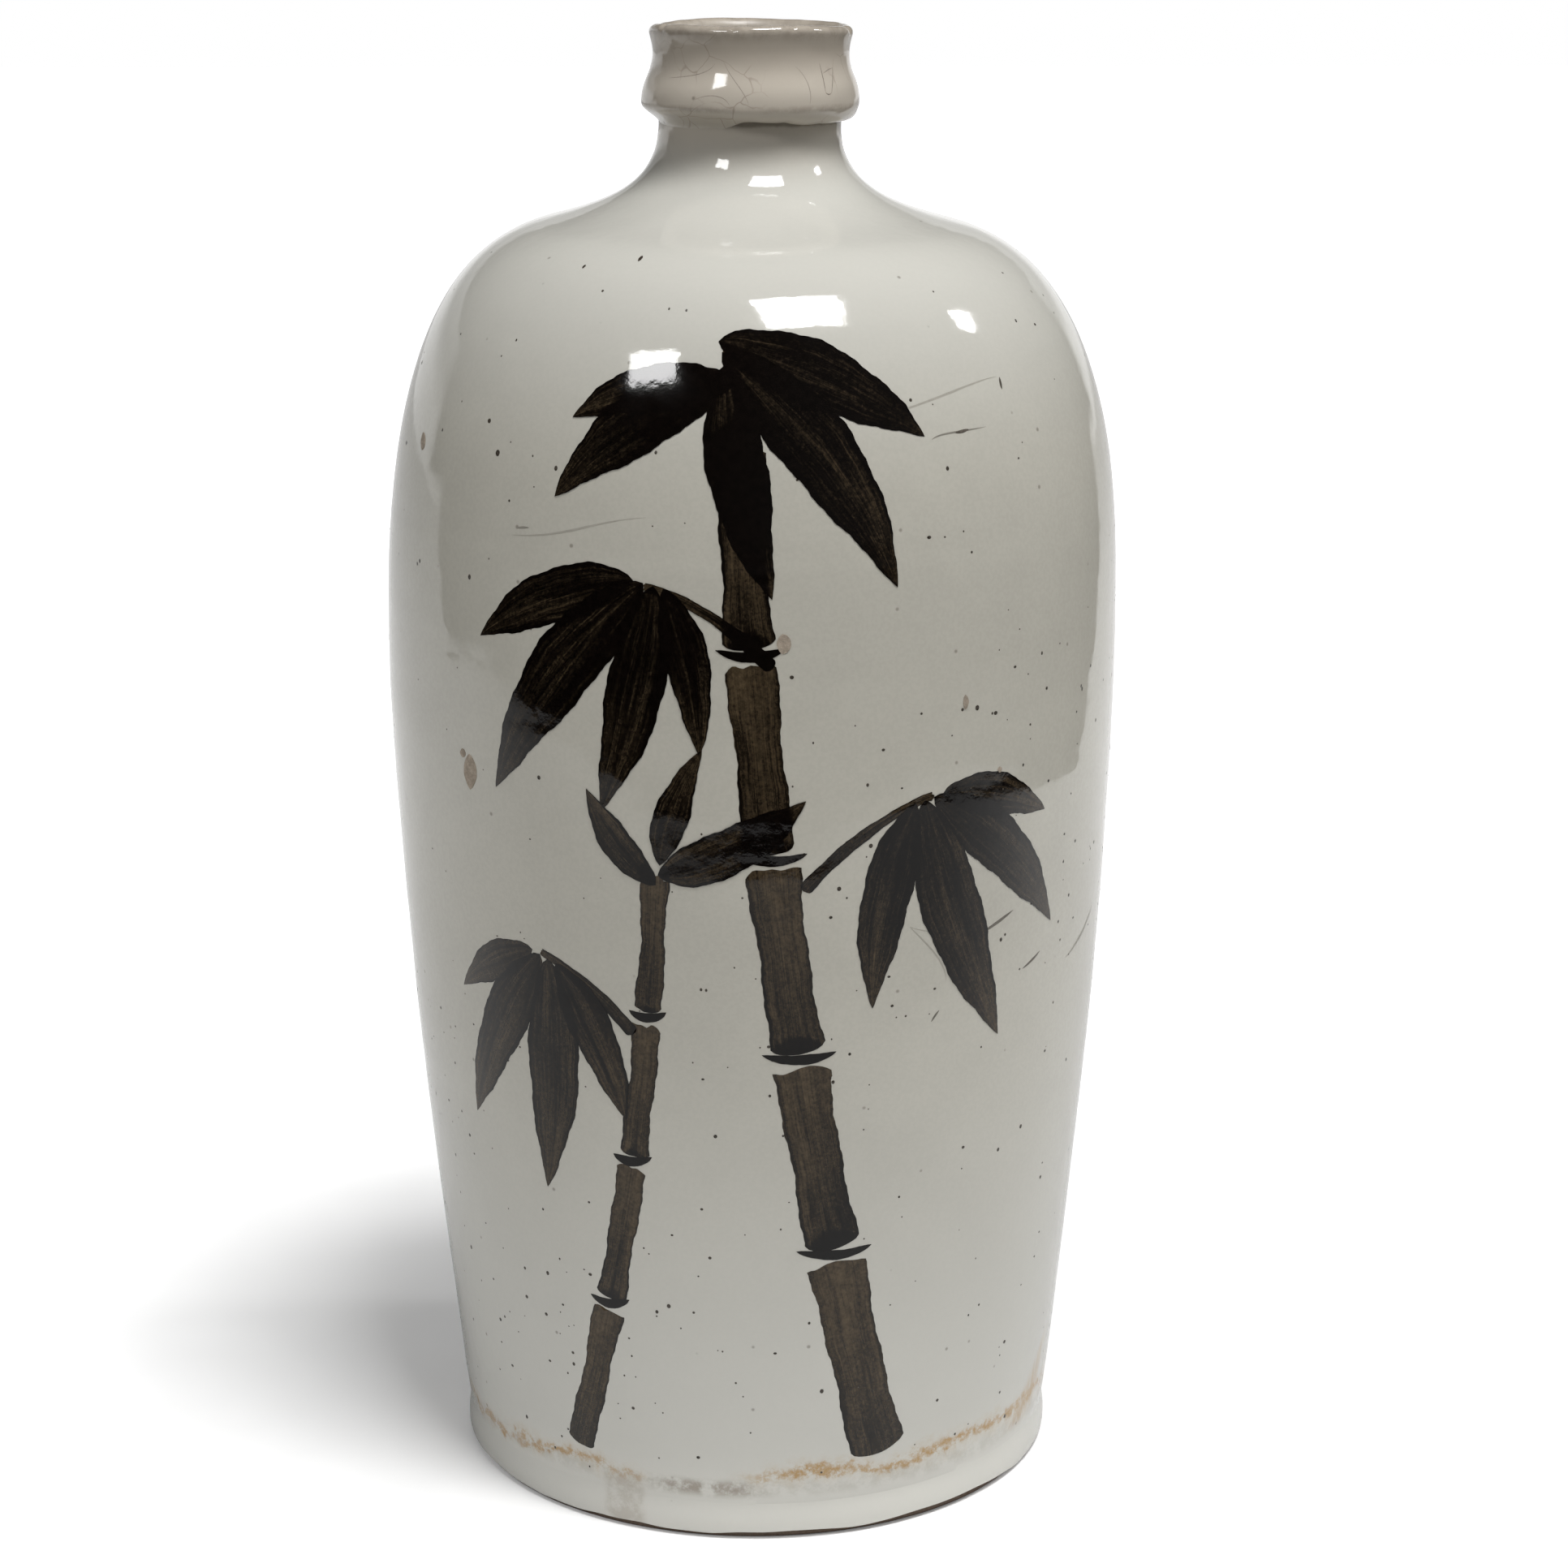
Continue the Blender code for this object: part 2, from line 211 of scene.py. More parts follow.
def apart(angle, place):
    """How far an angle lies from a place round the axis, from -pi to pi."""
    return np.angle(np.exp(1j * (angle - place)))


def heading(outline):
    """Unit direction along an outline at each of its points."""
    along = np.gradient(outline, axis=0)
    return along / np.linalg.norm(along, axis=1, keepdims=True)


def ripple(seed, angle, turns, height=0.0, rise=1.0, count=12):
    """A smooth random field: cosines of whole turns round the axis and of waves along Z, about -1 to 1."""
    draw = np.random.default_rng(seed)
    total = 0.0
    for _ in range(count):
        lobes = draw.integers(0, turns + 1)
        wave = draw.uniform(-1.0, 1.0) * math.tau / rise
        total = total + np.cos(lobes * angle + wave * height + draw.uniform(0, math.tau))
    return total / math.sqrt(count)


def body_outline(form):
    """Outside of the body from the glaze's lower edge to the notch: radius and height along five curves."""
    waist = np.array((form.waist_radius, form.waist_height))
    belly = np.array((form.belly_radius, form.belly_height))
    turn = np.array((form.turn_radius, form.turn_height))
    notch = np.array((form.neck_radius, form.neck_height))
    band = np.array((form.waist_radius + 0.00046, BAND_HEIGHT))
    pitch = np.array((math.cos(SHOULDER_PITCH), -math.sin(SHOULDER_PITCH)))
    flare = np.array((math.sin(FOOT_FLARE), math.cos(FOOT_FLARE)))
    rise = belly[1] - waist[1]
    return run(
        bezier((FOOT_EDGE + 0.0015, GLAZE_EDGE), (FOOT_EDGE + 0.0018, 0.0011), (band[0], 0.0017), band),
        upright(band, waist, 0.4, 0.4),
        bezier(waist, waist + 0.018 * rise * flare, belly - (0, 0.292 * rise), belly),
        bezier(belly, belly + (0, 0.0313), turn + 0.0350 * pitch, turn),
        bezier(turn, turn - 0.0110 * pitch, notch - (0, 0.0143), notch),
        np.linspace(notch, notch + (0, NECK_TOP_RISE), 12),
    )


def body_relief(angle, height):
    """Glaze that ran unevenly, throwing rings near the neck and the line of the shoulder joint."""
    broad = 0.00016 * ripple(11, angle, 3, height, 0.085)
    close = 0.00003 * ripple(12, angle, 9, height, 0.020)
    out_of_round = 0.00022 * np.cos(2 * angle + 0.8) * smooth_step(height, 0.02, 0.10)
    rings = 0.000014 * np.sin(math.tau * height / 0.0046 + 0.6 * np.sin(angle))
    rings = rings * smooth_step(height, 0.262, 0.280)
    joint = SHOULDER_LOW.z + 0.0004 * np.sin(angle) + 0.0003 * ripple(13, angle, 6)
    seam = 0.00008 * np.exp(-((height - joint) / 0.0009) ** 2) * (0.5 + 0.5 * np.cos(angle + 2.3))
    wheel = 0.000012 * ripple(14, 0.0, 1, height, 0.006, 9)
    return broad + close + out_of_round + rings + seam + wheel


def collar_relief(angle, height):
    """Soft unevenness of the collar's glaze."""
    return 0.00010 * ripple(34, angle, 4, height, 0.030) + 0.00003 * ripple(35, angle, 14, height, 0.006)


def lean(height):
    """How far the turning axis wanders in X: straight runs between knots, averaged over a short height."""
    knots = (0.0, 0.09, 0.20, 0.225, 0.250, 0.272, 0.286, 0.300, 0.3145)
    places = (0.0005, 0.0001, -0.0002, 0.0001, 0.0004, 0.0002, -0.0006, -0.0002, -0.0001)
    return sum(np.interp(height + shift, knots, places) for shift in (-0.006, -0.002, 0.002, 0.006)) / 4


def even_rows(outline, count):
    """The outline sampled at equal steps along its length."""
    step = np.hypot(*np.diff(outline, axis=0).T)
    along = np.concatenate([[0.0], np.cumsum(step)])
    at = np.linspace(0.0, along[-1], count)
    return np.column_stack([np.interp(at, along, outline[:, 0]), np.interp(at, along, outline[:, 1])])


class Skin:
    """A turned, glazed face as a function of angle and height."""

    def __init__(self, outline, relief):
        self.outline = outline
        self.relief = relief
        self.radius, self.height = outline.T
        along = heading(outline)
        self.out = along[:, 1]
        self.up = -along[:, 0]

    def radius_at(self, height):
        """Radius of the outline at a height."""
        return np.interp(height, self.height, self.radius)

    def point(self, angle, height, lift=0.0):
        """Point at an angle and a height, raised square to the face; the shoulder sags to the right."""
        angle, height = np.broadcast_arrays(np.asarray(angle, float), np.asarray(height, float))
        rise = lift + self.relief(angle, height)
        radius = self.radius_at(height) + rise * np.interp(height, self.height, self.out)
        level = height + rise * np.interp(height, self.height, self.up)
        x = radius * np.cos(angle)
        sag = SHOULDER_SAG * x * between(height, *SAG_SPAN)
        return np.stack([x + lean(height), radius * np.sin(angle), level - sag], axis=-1)


def body_skin(form):
    """The body's glazed face."""
    return Skin(body_outline(form), body_relief)


def ring_points(outline, angle):
    """A turned surface: each outline point carried round the axis."""
    radius = outline[:, 0][:, None]
    height = np.broadcast_to(outline[:, 1][:, None], (len(outline), len(angle)))
    return np.stack([radius * np.cos(angle), radius * np.sin(angle), height], axis=-1)


def full_turn(columns):
    """Angles of the columns of a closed ring."""
    return np.arange(columns) * math.tau / columns


def grid_faces(rows, columns, closed=False):
    """Corners of the quads of a grid whose columns wrap round; its rows do so too where it is closed."""
    row = np.arange(rows if closed else rows - 1)[:, None]
    column = np.arange(columns)[None, :]
    next_row = (row + 1) % rows
    next_column = (column + 1) % columns
    corners = (row * columns + column, row * columns + next_column,
               next_row * columns + next_column, next_row * columns + column)
    return np.stack(np.broadcast_arrays(*corners), axis=-1).reshape(-1, 4)


def mesh_piece(name, points, faces, material, uv=None, attributes=None):
    """One object from points and groups of faces; doubled points are merged and faces turned outwards."""
    mesh = bpy.data.meshes.new(name)
    corners = np.concatenate([group.ravel() for group in faces])
    counts = np.concatenate([np.full(len(group), group.shape[1]) for group in faces])
    mesh.vertices.add(len(points))
    mesh.vertices.foreach_set("co", np.ascontiguousarray(points, np.float32).ravel())
    mesh.loops.add(len(corners))
    mesh.loops.foreach_set("vertex_index", corners.astype(np.int32))
    mesh.polygons.add(len(counts))
    mesh.polygons.foreach_set("loop_start", (np.cumsum(counts) - counts).astype(np.int32))
    mesh.update(calc_edges=True)
    if uv is not None:
        layer = mesh.uv_layers.new(name="UVMap")
        layer.data.foreach_set("uv", uv[corners].astype(np.float32).ravel())
    for label, values in (attributes or {}).items():
        attribute = mesh.attributes.new(label, "FLOAT", "POINT")
        attribute.data.foreach_set("value", values.astype(np.float32))
    shape = bmesh.new()
    shape.from_mesh(mesh)
    bmesh.ops.remove_doubles(shape, verts=shape.verts, dist=MERGE_DISTANCE)
    bmesh.ops.recalc_face_normals(shape, faces=shape.faces)
    shape.to_mesh(mesh)
    shape.free()
    mesh.shade_smooth()
    mesh.set_sharp_from_angle(angle=SHARP_ANGLE)
    mesh.materials.append(material)
    piece = bpy.data.objects.new(name, mesh)
    bpy.context.scene.collection.objects.link(piece)
    return piece


def turned_piece(name, points, material, closed=False):
    """One object from rows of points round the axis; the last row meets the first where it is closed."""
    rows, columns = points.shape[:2]
    return mesh_piece(name, points.reshape(-1, 3), [grid_faces(rows, columns, closed)], material)


def settle(piece, slot, *nodes):
    """Rides on the one body and stands for the named solids; its slot is not used."""
    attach(piece, "root")
    if nodes:
        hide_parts(*nodes)
    return piece


# Finishes

class Nodes:
    """A node tree with short ways to add and join nodes."""

    def __init__(self, tree, place):
        self.tree = tree
        self.place = self.add("ShaderNodeTexCoord").outputs[place]

    def put(self, socket, value):
        """Gives an input a value or another node's output."""
        if isinstance(value, bpy.types.NodeSocket):
            self.tree.links.new(value, socket)
        else:
            socket.default_value = value

    def add(self, kind, inputs=None, **settings):
        """A node with its settings and inputs."""
        made = self.tree.nodes.new(kind)
        for label, value in settings.items():
            setattr(made, label, value)
        for label, value in (inputs or {}).items():
            self.put(made.inputs[label], value)
        return made

    def math(self, operation, first, second=0.0, third=0.0):
        """One arithmetic step."""
        return self.add("ShaderNodeMath", {0: first, 1: second, 2: third}, operation=operation).outputs[0]

    def scaled(self, value, by, plus):
        """A value multiplied by one number or output, with another added."""
        return self.math("MULTIPLY_ADD", value, by, plus)

    def times(self, *values):
        """All the values multiplied together."""
        product = values[0]
        for value in values[1:]:
            product = self.math("MULTIPLY", product, value)
        return product

    def off(self, value, middle):
        """How far a value lies from a middle."""
        return self.math("ABSOLUTE", self.math("SUBTRACT", value, middle))

    def vector(self, operation, first, second=(0.0, 0.0, 0.0)):
        """One step of vector arithmetic, with the output that holds its result."""
        made = self.add("ShaderNodeVectorMath", {0: first, 1: second}, operation=operation)
        return made.outputs["Value" if operation in ("LENGTH", "DOT_PRODUCT") else "Vector"]

    def span(self, value, low, high, to_low=0.0, to_high=1.0):
        """The value moved smoothly from one span to another and kept inside it."""
        inputs = {"Value": value, "From Min": low, "From Max": high, "To Min": to_low, "To Max": to_high}
        return self.add("ShaderNodeMapRange", inputs, interpolation_type="SMOOTHSTEP").outputs[0]

    def noise(self, scale, detail=3.0, roughness=0.55, distortion=0.0, vector=None):
        """Noise over the object, from about 0.3 to 0.7."""
        inputs = {"Vector": vector or self.place, "Scale": scale, "Detail": detail,
                  "Roughness": roughness, "Distortion": distortion}
        return self.add("ShaderNodeTexNoise", inputs).outputs["Fac"]


class Finish(Nodes):
    """A node material on the object's own coordinates."""

    def __init__(self, name):
        self.material = bpy.data.materials.new(name)
        self.material.use_nodes = True
        super().__init__(self.material.node_tree, "Object")
        self.shader = self.tree.nodes["Principled BSDF"]

    def use(self, socket, value):
        """Gives the shader's input a value or a node's output."""
        self.put(self.shader.inputs[socket], value)

    def done(self, colour, roughness):
        """The material, with its colour and roughness."""
        self.use("Base Color", colour)
        self.use("Roughness", roughness)
        return self.material

    def parts(self):
        """The place's X, Y and Z."""
        return self.add("ShaderNodeSeparateXYZ", {0: self.place}).outputs

    def reach(self):
        """Distance from the turning axis."""
        return self.vector("LENGTH", self.vector("MULTIPLY", self.place, (1.0, 1.0, 0.0)))

    def load(self):
        """The piece's own attribute: how full the brush was."""
        return self.add("ShaderNodeAttribute", attribute_name="load").outputs["Fac"]

    def mix(self, share, first, second, blend="MIX"):
        """Two colours mixed by a share."""
        made = self.add("ShaderNodeMix", data_type="RGBA", blend_type=blend)
        sockets = {socket.name: socket for socket in made.inputs if socket.enabled}
        for label, value in (("Factor", share), ("A", first), ("B", second)):
            self.put(sockets[label], value)
        return next(socket for socket in made.outputs if socket.enabled)

    def grey(self, value):
        """A grey of this level."""
        return self.add("ShaderNodeCombineColor", {0: value, 1: value, 2: value}).outputs[0]

    def tint(self, colour, value):
        """A colour multiplied by a plain number."""
        return self.mix(1.0, colour, self.grey(value), "MULTIPLY")

    def bump(self, height, distance):
        """Tilts the shading by a height in metres."""
        inputs = {"Height": height, "Distance": distance, "Strength": 1.0}
        self.use("Normal", self.add("ShaderNodeBump", inputs).outputs[0])


def shade(colour, share):
    """A colour made darker or lighter."""
    return tuple(min(1.0, share * value) for value in colour[:3]) + (1.0,)


def glaze_finish(name, finish, crackle):
    """Glossy grey glaze: cloudy colour, painted bounce light at the foot, a paler shoulder top, a worn brown
    collar with painted shade under the lip, stained foot, pinholes, and crackle or a painted shade line in
    the open crack under the collar.
    """
    made = Finish(name)
    parts = made.parts()
    height = parts["Z"]
    cloudy = made.span(made.noise(16.0, 4.0, 0.6), 0.38, 0.66)
    colour = made.mix(cloudy, finish.glaze[:], shade(finish.glaze, 0.93))
    colour = made.tint(colour, made.span(made.noise(1100.0, 2.0), 0.35, 0.65, 0.975, 1.02))
    # Paler towards the foot: painted bounce light from the white table. Paler towards the shoulder top as
    # well.
    for low, high, most in ((0.140, 0.012, 0.85), (0.225, 0.270, 0.70)):
        colour = made.mix(made.span(height, low, high, 0.0, most), colour, finish.glaze_pale_and_bounce[:])
    # Lighter still just over the foot: more painted bounce light from the table.
    colour = made.tint(colour, made.span(height, 0.022, 0.009, 1.0, 1.09))
    colour = collar_wear_and_shade(made, finish, height, colour)
    colour = stained_foot(made, finish, parts, colour)
    dots = made.add("ShaderNodeTexVoronoi", {"Vector": made.place, "Scale": 170.0, "Randomness": 1.0})
    chance = made.add("ShaderNodeSeparateColor", {0: dots.outputs["Color"]}).outputs[0]
    dot = made.times(made.span(dots.outputs["Distance"], 0.10, 0.03), made.span(chance, 0.80, 0.81), 0.55)
    colour = made.mix(dot, colour, PINHOLE)
    if crackle:
        colour = made.mix(made.times(crackle_line(made), crackle), colour, CRACKLE)
    else:
        # Painted shade: a dark line in the open crack under the collar's right edge.
        joint = made.span(made.scaled(made.noise(260.0), 0.0012, height), 0.2949, 0.2957)
        crack_shade = made.times(joint, made.span(parts["X"], -0.009, -0.002, 0.0, 0.55))
        colour = made.mix(crack_shade, colour, shade(finish.clay, 0.35))
    mouth = made.span(made.reach(), LIP_INSIDE, LIP_INSIDE - 0.0009)
    funnel = made.times(mouth, made.span(height, 0.300, 0.305))
    return made.done(colour, made.scaled(funnel, 0.35, glossy(made)))


def glossy(made):
    """Refraction and fine waviness of the glaze; gives its roughness."""
    made.use("IOR", GLAZE_IOR)
    peel = made.math("ADD", made.noise(95.0, 2.0), made.times(made.noise(420.0, 3.0), 0.24))
    made.bump(peel, PEEL_DEPTH)
    return made.span(made.noise(60.0, 4.0), 0.35, 0.70, 0.04, 0.10)


def collar_wear_and_shade(made, finish, height, colour):
    """Colour with thin brown glaze on the neck and collar, painted shade under the lip darkening the collar's
    top, and wear darker at the lip and the ridge.
    """
    thin = made.span(height, 0.281, 0.298)
    colour = made.mix(made.times(thin, 0.70), colour, finish.glaze_warm[:])
    # Darker towards the lip: painted shade under the overhanging lip, on glaze that is browner there.
    colour = made.mix(made.span(height, 0.302, 0.310, 0.0, 0.45), colour, shade(finish.glaze_warm, 0.72))
    worn = made.span(made.noise(220.0, 5.0, 0.7), 0.40, 0.60)
    lip = made.times(made.span(height, 0.3112, 0.3140), made.scaled(worn, 0.40, 0.30))
    colour = made.mix(lip, colour, shade(finish.glaze_warm, 0.55))
    ridge = made.span(made.off(height, 0.2984), 0.0011, 0.0002)
    rubbed = made.times(ridge, made.scaled(worn, 0.35, 0.15))
    return made.mix(rubbed, colour, shade(finish.glaze_warm, 0.60))


def stained_foot(made, finish, parts, colour):
    """Colour with a line of iron stain, a grey smear where it breaks, a climbing stain and a thin patch."""
    height = parts["Z"]
    gap = made.span(made.off(parts["X"], -0.010), 0.003, 0.018)
    for width, most, tone in ((0.0042, 0.28, 1.10), (0.0019, 0.95, 1.0)):
        share = made.times(stain_share(made, height, width, most), gap)
        colour = made.mix(share, colour, shade(finish.stain, tone))
    smear = made.span(made.off(height, 0.0118), 0.0030, 0.0004)
    patchy = made.span(made.noise(260.0, 4.0, 0.7), 0.36, 0.62)
    smear = made.times(smear, patchy, made.span(gap, 0.0, 1.0, 0.75, 0.22))
    colour = made.mix(smear, colour, shade(finish.clay, 0.80))
    colour = made.mix(climbing_stain(made, parts), colour, finish.stain[:])
    return made.mix(thin_patch(made, parts), colour, shade(finish.clay, 1.05))


def stain_share(made, height, width, most):
    """Share of iron stain: a ragged, blotchy line at the height where the glaze crawled."""
    wander = made.scaled(made.noise(14.0, 2.0), 0.016, 0.0058)
    ragged = made.scaled(made.noise(110.0, 6.0, 0.75), 0.012, -0.006)
    above = made.math("SUBTRACT", height, made.math("ADD", wander, ragged))
    line = made.span(made.math("ABSOLUTE", above), width, 0.1 * width)
    broken = made.span(made.noise(38.0, 2.0), 0.33, 0.50)
    blotch = made.span(made.noise(420.0, 5.0, 0.75), 0.34, 0.60)
    return made.times(line, broken, blotch, most)


def climbing_stain(made, parts):
    """Share of the stain that ran up on the right: a streaky, leaning tongue that narrows as it rises."""
    height = parts["Z"]
    aside = made.off(made.scaled(height, -0.6, parts["Y"]), -0.0378)
    tongue = made.span(made.scaled(height, 0.22, aside), 0.0105, 0.0045)
    drawn = made.add("ShaderNodeMapping", {"Vector": made.place, "Scale": (1.0, 1.0, 0.22)}).outputs[0]
    streaky = made.span(made.noise(300.0, 4.0, 0.7, 0.3, drawn), 0.36, 0.62, 0.25, 1.0)
    fading = made.span(height, 0.030, 0.014, 0.38, 0.70)
    ends = made.times(made.span(height, 0.0095, 0.0130), made.span(height, 0.032, 0.026))
    return made.times(tongue, streaky, fading, ends, made.span(parts["X"], 0.03, 0.05))


def thin_patch(made, parts):
    """Share of clay that shows through a thin patch of glaze at the front left of the foot."""
    across = made.span(made.off(parts["X"], -0.028), 0.0052, 0.0030)
    tall = made.span(made.off(parts["Z"], 0.0062), 0.0064, 0.0044)
    cloud = made.span(made.noise(240.0, 4.0, 0.7), 0.36, 0.58, 0.10, 0.42)
    return made.times(across, tall, cloud, made.span(parts["Y"], -0.03, -0.05))


def crackle_line(made):
    """Thin wandering cracks: the cell walls of a bent Voronoi pattern, only in patches."""
    bend = made.add("ShaderNodeTexNoise", {"Vector": made.place, "Scale": 90.0, "Detail": 3.0})
    shift = made.vector("MULTIPLY", bend.outputs["Color"], (0.006, 0.006, 0.006))
    moved = made.vector("ADD", made.place, shift)
    cells = made.add("ShaderNodeTexVoronoi", {"Vector": moved, "Scale": 120.0}, feature="DISTANCE_TO_EDGE")
    line = made.span(cells.outputs["Distance"], 0.018, 0.0)
    return made.times(line, made.span(made.noise(75.0), 0.42, 0.60))


def brush_finish(finish):
    """Iron brushwork under glaze: bristle streaks along the stroke, dark pooled edges, dry brown breaks."""
    made = Finish("iron_brushwork")
    uv = made.add("ShaderNodeUVMap", uv_map="UVMap").outputs[0]
    across = made.add("ShaderNodeSeparateXYZ", {0: uv}).outputs["Y"]
    wet = made.scaled(made.noise(1500.0, 3.0, 0.7), 0.9, -0.45)
    wet = made.math("ADD", made.load(), wet)
    for scale, strength in (((2.5, 3.0, 1.0), 1.1), ((5.0, 13.0, 1.0), 0.9), ((9.0, 40.0, 1.0), 0.8)):
        drawn = made.add("ShaderNodeMapping", {"Vector": uv, "Scale": scale}).outputs[0]
        streak = made.noise(1.0, 2.0, 0.6, 0.3, drawn)
        wet = made.math("ADD", wet, made.scaled(streak, strength, -0.5 * strength))
    side = made.math("ABSOLUTE", made.scaled(across, 2.0, -1.0))
    wet = made.span(made.math("ADD", wet, made.span(side, 0.80, 0.98, 0.0, 0.30)), 0.0, 1.0)
    colour = made.mix(wet, finish.ink_thin[:], finish.ink[:])
    colour = made.tint(colour, made.span(made.noise(700.0, 3.0, 0.7), 0.3, 0.7, 0.70, 1.30))
    return made.done(colour, glossy(made))


def clay_finish(finish):
    """Bare stoneware: sandy speckle, brown flashing, painted shade darkening the foot's outer edge under the
    glaze, and a rough fired face.
    """
    made = Finish("bare_clay")
    sand = made.span(made.noise(700.0, 4.0, 0.75), 0.30, 0.70)
    flash = made.span(made.noise(45.0, 4.0, 0.6), 0.38, 0.64)
    colour = made.mix(flash, finish.clay[:], shade(finish.clay, 1.35))
    colour = made.mix(made.times(sand, 0.5), colour, shade(finish.clay, 0.45))
    # Painted shade: the foot's outer edge by the table, under the glaze's edge, is darkened to dark brown.
    low = made.span(made.parts()["Z"], 0.0060, 0.0040)
    edge = made.times(low, made.span(made.reach(), FOOT_EDGE - 0.0012, FOOT_EDGE), 0.92)
    colour = made.mix(edge, colour, finish.shaded_foot_edge[:])
    made.bump(made.noise(900.0, 4.0, 0.7), 0.0004)
    return made.done(colour, made.span(sand, 0.0, 1.0, 0.72, 0.95))


def speck_finish(name, colour, roughness, faint=None):
    """Small kiln marks: a mottled dark spot, or a faint one where the load attribute is low."""
    made = Finish(name)
    share = made.span(made.noise(1500.0, 3.0, 0.7), 0.35, 0.65)
    tone = made.mix(share, colour, shade(colour, 1.9))
    if faint:
        tone = made.mix(made.load(), faint, tone)
    made.bump(made.noise(1800.0, 2.0), 0.0001)
    return made.done(tone, made.span(share, 0.0, 1.0, roughness, roughness + 0.2))


# Pieces

class SakeBodyOperator(bpy.types.Operator):
    """Glazed body with its inside, from the foot band to the notch under the collar"""

    bl_idname = "object.sake_body"
    bl_label = "Glazed body"

    def execute(self, context):
        """Rows round the axis: a buried start, the outside from its ragged lower edge, and the inside."""
        form = context.scene.sake_form
        skin = body_skin(form)
        angle = full_turn(BODY_COLUMNS)
        low = skin.outline[skin.height < form.waist_height]
        high = skin.outline[skin.height >= form.waist_height]
        rows = np.vstack([even_rows(low, EDGE_ROWS), even_rows(high, BODY_ROWS)])
        edge = 1 - smooth_step(rows[:, 1], GLAZE_EDGE, BAND_HEIGHT + 0.0022)
        height = np.maximum(rows[:, 1][:, None] + edge[:, None] * self.drip(angle)[None, :], 0.00025)
        outside = skin.point(angle[None, :], height)
        buried = np.array([(0.0, 0.0046), (FOOT_EDGE - 0.0020, 0.0030), (FOOT_EDGE + 0.0008, 0.0016)])
        inside = ring_points(self.inside_outline(form), angle)
        inside[..., 0] += lean(inside[..., 2])
        points = np.concatenate([ring_points(buried, angle), outside, inside])
        glaze = glaze_finish("body_glaze", context.scene.sake_finish, 0.0)
        body = turned_piece("bottle_body", points, glaze)
        settle(body, "glaze", "glaze_coat", "lower_wall", "shoulder_dome", "neck_tube", "inner_glaze",
               "base_slip", "shoulder_slip", "neck_slip", "collar_slip")
        return {"FINISHED"}

    def drip(self, angle):
        """Rise of the glaze's lower edge: random waves, and a lifted stretch in front, most at the right."""
        aside = apart(angle, FRONT)
        waves = 0.00022 * ripple(21, angle, 14) + 0.00016 * ripple(22, angle, 40)
        wide = 0.00015 * between(aside, -1.3, -1.0, 0.95, 1.25)
        lifted = 0.00055 * between(aside, -0.62, -0.38, 0.85, 1.15)
        return waves + wide + lifted + 0.00050 * np.exp(-((aside - 0.72) / 0.30) ** 2)

    def inside_outline(self, form):
        """Neck top, bore, inside wall and floor: the outside moved in by the wall, down to the axis."""
        outside = body_outline(form)
        along = heading(outside)
        moved = outside + form.wall * np.column_stack((-along[:, 1], along[:, 0]))
        moved = moved[moved[:, 1] > LINING_LOW.z + 0.004][::-1]
        level = form.neck_height + NECK_TOP_RISE + 0.0003
        top = np.array([(form.neck_radius - 0.0010, level), (form.neck_radius - 0.0022, level)])
        floor = np.array([(moved[-1, 0] - 0.0030, LINING_LOW.z), (0.0, LINING_LOW.z)])
        return np.vstack([top, even_rows(moved, INSIDE_ROWS), floor])


class SakeCollarOperator(bpy.types.Operator):
    """Mouth collar with its ridge, waist, worn lip and funnel"""

    bl_idname = "object.sake_collar"
    bl_label = "Mouth collar"

    def execute(self, context):
        """Outline carried round the axis: seam filled on the left, open on the right, and a wavy lip."""
        form = context.scene.sake_form
        angle = full_turn(COLLAR_COLUMNS)
        under, filled, above = collar_curves(form)
        outline = np.vstack([under, above])
        sealed = smooth_step(-np.cos(angle), 0.02, 0.42) * smooth_step(-np.sin(angle), -0.2, 0.1)
        fillet = sealed[None, :, None] * (np.vstack([filled, above]) - outline)[:, None, :]
        height = outline[:, 1][:, None]
        near_lip = smooth_step(height, 0.3085, 0.3140)
        underside = 1 - smooth_step(height, form.neck_height + 0.0022, form.neck_height + 0.0042)
        lip_wave = 0.00012 * ripple(31, angle, 4) + 0.00004 * ripple(32, angle, 22)
        lip_wave = lip_wave + 0.00037 - 0.00019 * np.sin(angle) - 0.00017 * np.cos(angle)
        lip_wave = lip_wave - 0.0002 * np.cos(2 * angle)
        ragged = (0.00022 * np.abs(ripple(33, angle, 12)) - 0.0001) * (1 - sealed)
        ragged = ragged + 0.0008 * smooth_step(np.cos(angle), 0.15, 0.85) * (1 - sealed)
        level = height + fillet[..., 1] + near_lip * lip_wave[None, :] - underside * ragged[None, :]
        radius = outline[:, 0][:, None] + fillet[..., 0] + collar_relief(angle[None, :], height)
        level, radius = self.chipped(angle, level, radius, near_lip)
        points = np.stack([radius * np.cos(angle) + lean(height), radius * np.sin(angle), level], axis=-1)
        glaze = glaze_finish("collar_glaze", context.scene.sake_finish, 0.42)
        collar = turned_piece("glazed_mouth_collar", points, glaze, True)
        settle(collar, "glaze", "mouth_collar")
        return {"FINISHED"}

    def chipped(self, angle, level, radius, near_lip):
        """Small bites out of the lip: dents that fall off as a bell curve round the axis."""
        bites = ((math.radians(-12), 0.060, 0.0006), (math.radians(-150), 0.05, 0.0003),
                 (math.radians(-100), 0.03, 0.0002), (math.radians(-66), 0.03, 0.0002))
        for place, width, depth in bites:
            bite = near_lip * depth * np.exp(-(apart(angle, place) / width) ** 2)[None, :]
            level = level - bite
            radius = radius - 0.5 * bite * (radius > LIP_INSIDE)
        return level, radius


